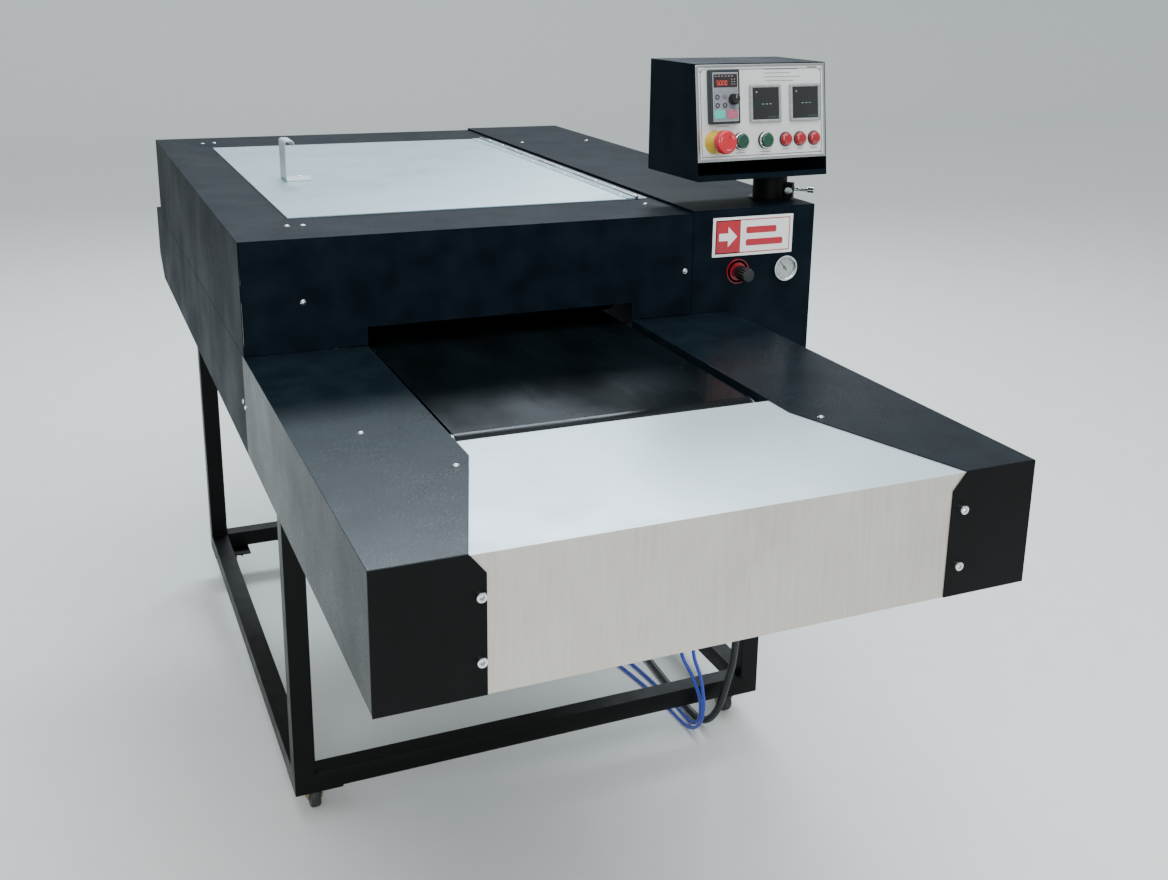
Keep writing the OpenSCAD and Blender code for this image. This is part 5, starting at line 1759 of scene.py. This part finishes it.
    def push(self, node: str, body: str, cap_name: str) -> None:
        """A push button: a domed green cap in a black guard with a chrome ring."""
        low, high = self.panel.box(node)
        radius = (high[0] - low[0]) / 2
        at = self.middle(node)
        spot = (at[0], at[1], 0)
        top = high[2]
        base = top - 0.009
        turn = np.linspace(0, math.pi / 2, 7)[1:]
        edge = [(radius - 0.0035 + 0.0035 * math.cos(t), top - 0.0026 + 0.0024 * math.sin(t)) for t in turn]
        cap = [
            (0, -0.014), (0.0102, -0.014), (0.0102, base), (radius, base), (radius, top - 0.0026), *edge,
            (0, top)
        ]
        self.piece(cap_name, lathe_rings(cap, 56) + spot, CAP_GREEN, body, "button_green", [node])
        guard = [
            (radius + 0.0007, 0), (radius + 0.003, 0), (radius + 0.003, 0.0045), (radius + 0.0024, 0.006),
            (radius + 0.0007, 0.006)
        ]
        self.piece(
            f"{cap_name}_guard", lathe_rings(guard, 56) + spot, BLACK_PLASTIC, slot="device_black",
            closed=True
        )
        bright = [
            (radius + 0.0005, 0.006), (radius + 0.0024, 0.006), (radius + 0.0022, 0.0082),
            (radius + 0.0012, 0.009), (radius + 0.0005, 0.0084)
        ]
        self.piece(
            f"{cap_name}_ring", lathe_rings(bright, 56) + spot, CHROME, slot="chrome_parts", closed=True
        )

    def lamps(self) -> None:
        """Three pilot lamps: ribbed crimson lenses in black bases."""
        low, high = self.panel.box("pilot_lamps")
        radius, top = (high[1] - low[1]) / 2, high[2]
        up = (low[1] + high[1]) / 2
        lenses, bases = [], []
        for across in self.lamp_places():
            turn = np.linspace(0, math.pi / 2, 9)
            dome = [
                (
                    (radius - 0.0012) * math.cos(t) ** 0.7 if t < 1.57 else 0,
                    0.004 + (top - 0.004) * math.sin(t)
                ) for t in turn
            ]
            lenses.append(
                lathe_rings([(0, 0.001), (radius - 0.0012, 0.001), *dome], 60, 0.0004, 20) + (across, up, 0)
            )
            bases.append(
                lathe_rings(
                    [
                        (0, -0.016), (0.0103, -0.016), (0.0103, 0), (radius, 0), (radius, 0.0022),
                        (radius - 0.0008, 0.003), (0, 0.003)
                    ],
                    48
                ) + (across, up, 0)
            )
        self.group("pilot_lamp_lenses", lenses, LENS_RED, "stop_red", ["pilot_lamps"])
        self.group("pilot_lamp_bases", bases, BLACK_PLASTIC, "stop_red")

    def post_and_clamp(self) -> None:
        """The post with its flange, the split sleeve and the clamp's lever."""
        self.soften("post", "head_post", PLATE_BLACK, 0.6)
        self.soften("post_sleeve", "head_sleeve", PLATE_BLACK, 0.7)
        self.soften("clamp_lever", "clamp_bolt_and_lever", CHROME, 0.5)

    def build(self) -> None:
        """Makes the box, its panel and every device."""
        self.soften("control_box", "control_box_cover", POWDER, 0.7, 3)
        self.face()
        self.keypad()
        self.speed_knob()
        self.controllers()
        self.stop()
        self.push("start_button", "start", "start_cap")
        self.push("heat_button", "heat", "heat_cap")
        self.lamps()
        self.post_and_clamp()


INK_PALE = Moulded("ink_pale", "#b9bcc0", "#a9adb1", 0.5, 1, 0.002)
KEY_GREY = Moulded("grey_key", "#6f7178", "#62646b", 0.45, 0.8, 0.01)
KEY_SLATE = Moulded("slate_key", "#35504d", "#2c4341", 0.4, 0.8, 0.01)
BEZEL_GREY = Moulded("silver_bezel", "#a3a5a7", "#8f9193", 0.3, 1.5, 0.01, 0.3)


@dataclass
class AirControls(Part):
    """The regulator, its gauge and the plain label on the cabinet's front."""

    datum: Datum
    label_low: tuple[float, float] = (876, 108)
    label_high: tuple[float, float] = (1052, 184)

    def front(
        self, name: str, rings: Array, at: Sequence[float], finish: Finish, **how: Any
    ) -> bpy.types.Object:
        """One shell drawn in its own plane, turned to face the front and finished."""
        closed = how.pop("closed", False)
        made = shell(name, moved(rings, at, Facing.FRONT.value), closed)
        return self.dress(made, finish, how.pop("body", "machine"), how.pop("slot"), how.pop("replaces", ()))

    def group(
        self, name: str, sets: Sequence[
            Array
        ], at: Sequence[float], finish: Finish, slot: str, closed: bool = False
    ) -> bpy.types.Object:
        """Several shells in one plane, turned to face the front and joined."""
        made = [shell("part", moved(rings, at, Facing.FRONT.value), closed) for rings in sets]
        return self.dress(joined(name, made), finish, "machine", slot)

    def regulator(self) -> None:
        """The red lock ring with its gripping notches, and the long fluted black knob."""
        low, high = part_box("regulator_body")
        knob_low, knob_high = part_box("regulator_knob")
        middle = box_middle("regulator_knob")
        face_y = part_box("cabinet_front")[0].y
        at = (middle[0], face_y, middle[2])
        ring_r = (high.x - low.x) / 2
        tall = face_y - knob_high.y - 0.0005
        ring = [
            (0.008, 0), (ring_r, 0), (ring_r, tall * 0.6), (ring_r - 0.0012, tall), (ring_r - 0.006, tall),
            (ring_r - 0.0075, tall * 0.55), (0.008, tall * 0.55)
        ]
        self.front(
            "regulator_ring", lathe_rings(ring, 96, 0.0009, 24), at, RING_RED, slot="regulator_red",
            closed=True
        )
        paint(RING_RED, "regulator_body")
        reach, radius = face_y - knob_low.y, (knob_high.x - knob_low.x) / 2
        start = face_y - knob_high.y
        side = [
            (0.0066, start), (radius * 0.8, start), (radius * 0.84, start + 0.006), (radius, start + 0.009)
        ]
        side += [(radius, reach - 0.004), (radius * 0.94, reach - 0.0012), (radius * 0.86, reach)]
        top = [(radius * 0.6, reach - 0.0004), (0, reach - 0.0006)]
        inner = [(0, start + 0.034), (0.0066, start + 0.034)]
        knob = lathe_rings([*inner, *side, *top], 96, 0.0016, 16)
        self.front(
            "regulator_grip", knob, at, BLACK_PLASTIC, body="regulator", slot="device_black",
            replaces=["regulator_knob"]
        )

    def gauge(self) -> None:
        """The pressure gauge: a chrome rim, a white dial with its ticks and numbers, a needle and a glass."""
        low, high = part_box("gauge_case")
        radius = (high.x - low.x) / 2
        face_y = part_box("cabinet_front")[0].y
        middle = box_middle("gauge_case")
        at = (middle[0], face_y, middle[2])
        tall = face_y - low.y
        rim = [
            (radius - 0.0025, 0), (radius - 0.0012, 0), (radius, 0.002), (radius, tall - 0.0035),
            (radius - 0.0006, tall - 0.001)
        ]
        rim += [
            (radius - 0.0016, tall), (radius - 0.0028, tall - 0.0002), (radius - 0.0042, tall - 0.0018),
            (radius - 0.0042, tall - 0.0028), (radius - 0.0025, tall - 0.003)
        ]
        self.front("gauge_rim", lathe_rings(rim, 72), at, CHROME, slot="chrome_parts", closed=True)
        paint(CHROME, "gauge_case")
        dial_r = radius - 0.0028
        plate = lathe_rings([(0, 0.0039), (dial_r, 0.0039), (dial_r, 0.0042), (0, 0.0042)], 64)
        self.front("gauge_dial", plate, at, DIAL_WHITE, slot="chrome_parts")
        self.dial_marks(at, dial_r)
        glass = lathe_rings(
            [
                (0, tall - 0.0034), (dial_r - 0.0012, tall - 0.0034), (dial_r - 0.0012, tall - 0.0026),
                (0, tall - 0.0022)
            ],
            64
        )
        self.front("gauge_glass", glass, at, CLEAR, slot="chrome_parts")
        self.soften("gauge_needle", "gauge_pointer", INK_BLACK, 0.08)

    def dial_marks(self, at: Sequence[float], dial_r: float) -> None:
        """Ticks from lower left round to lower right, every fifth one long, with a number beside it."""
        ticks, numbers = [], []
        for step in range(41):
            angle = math.radians(225 - 270 * step / 40)
            long = step % 5 == 0
            length = 0.0034 if long else 0.0018
            stroke = block_rings(0.0006 if long else 0.0003, length, 0.00015, 0.0001, 0.00005)
            place = Matrix.Rotation(angle - math.pi / 2, 3, "Z")
            reach = dial_r - 0.0016 - length / 2
            ticks.append(moved(stroke, (reach * math.cos(angle), reach * math.sin(angle), 0.0042), place))
            if step % 10 == 0:
                inner = dial_r - 0.0078
                text = digit_strokes(str(step // 5), 0.0026)
                spot = (inner * math.cos(angle) - 0.0007, inner * math.sin(angle) - 0.0013, 0.0042)
                numbers += [rings + spot for rings in flat_strokes(text, 0.00015)]
        sweep = np.radians(np.linspace(225, -45, 90))
        arc = np.column_stack(
            [np.cos(sweep), np.sin(sweep), np.zeros(90)]
        ) * (dial_r - 0.0014) + (0, 0, 0.0042)
        ticks.append(swept_rings(arc, 0.00018, 6))
        self.group("gauge_ticks", ticks, at, INK_BLACK, "chrome_parts")
        self.group("gauge_numbers", numbers, at, INK_BLACK, "chrome_parts")

    def label(self) -> None:
        """A plain white vinyl label: a thin red frame, a red block with a white arrow, and two plain bars."""
        face_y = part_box("cabinet_front")[0].y
        corner = self.datum.at(*self.label_low[:1], 0, self.label_low[1])
        far = self.datum.at(*self.label_high[:1], 0, self.label_high[1])
        width, height = far[0] - corner[0], far[2] - corner[2]
        at = ((corner[0] + far[0]) / 2, face_y, (corner[2] + far[2]) / 2)
        self.front(
            "label_sheet", block_rings(width, height, 0.0003, 0.001, 0.0001), at, LABEL_WHITE,
            slot="panel_white"
        )
        inner_w, inner_h = width * 0.93, height * 0.86
        line = np.array([(0, 0.0002), (0, 0.0005), (0.0019, 0.0005), (0.0019, 0.0002)])
        frame_line = frame_rings(inner_w, inner_h, 0.0006, line)
        block_w = inner_w * 0.33
        left = -inner_w / 2 + block_w / 2
        block = block_rings(block_w, inner_h, 0.0003, 0.0006, 0.0001) + (left, 0, 0.0002)
        self.front("label_frame", frame_line, at, INK_RED, slot="regulator_red", closed=True)
        self.front("label_block", block, at, INK_RED, slot="regulator_red")
        span = inner_w * 0.5
        start = -inner_w / 2 + block_w + inner_w * 0.06 + span / 2
        rows = [
            (start - span * 0.06, inner_h * 0.17, span * 0.82, inner_h * 0.2),
            (start + span * 0.03, -inner_h * 0.2, span, inner_h * 0.2)
        ]
        self.group(
            "label_bars", [r + (0, 0, 0.0002) for r in flat_strokes(rows, 0.0003)], at, INK_RED,
            "regulator_red"
        )
        head, shaft = inner_h * 0.3, inner_h * 0.11
        outline = np.array([
            (-head, -shaft), (0, -shaft), (0, -head), (head, 0), (0, head), (0, shaft), (-head, shaft),
        ])
        rings = np.stack([np.column_stack([outline, np.full(7, level)]) for level in (0.0004, 0.0007)])
        self.front("label_arrow", rings + (left, 0, 0), at, LABEL_WHITE, slot="panel_white")

    def build(self) -> None:
        """Makes the regulator, the gauge and the label."""
        self.regulator()
        self.gauge()
        self.label()


# ---------- the whole ----------


def main() -> None:
    """Builds the sub-assemblies in order."""
    logging.basicConfig(level=logging.INFO, format="%(name)s: %(message)s")
    datum = corner_datum()
    Studio().build()
    Cords(datum).build()
    Chassis().build()
    SheetCovers().build()
    Lid().build()
    Fixings().build()
    Conveyor().build()
    ControlHead(panel_frame()).build()
    AirControls(datum).build()


if __name__ == "__main__":
    main()
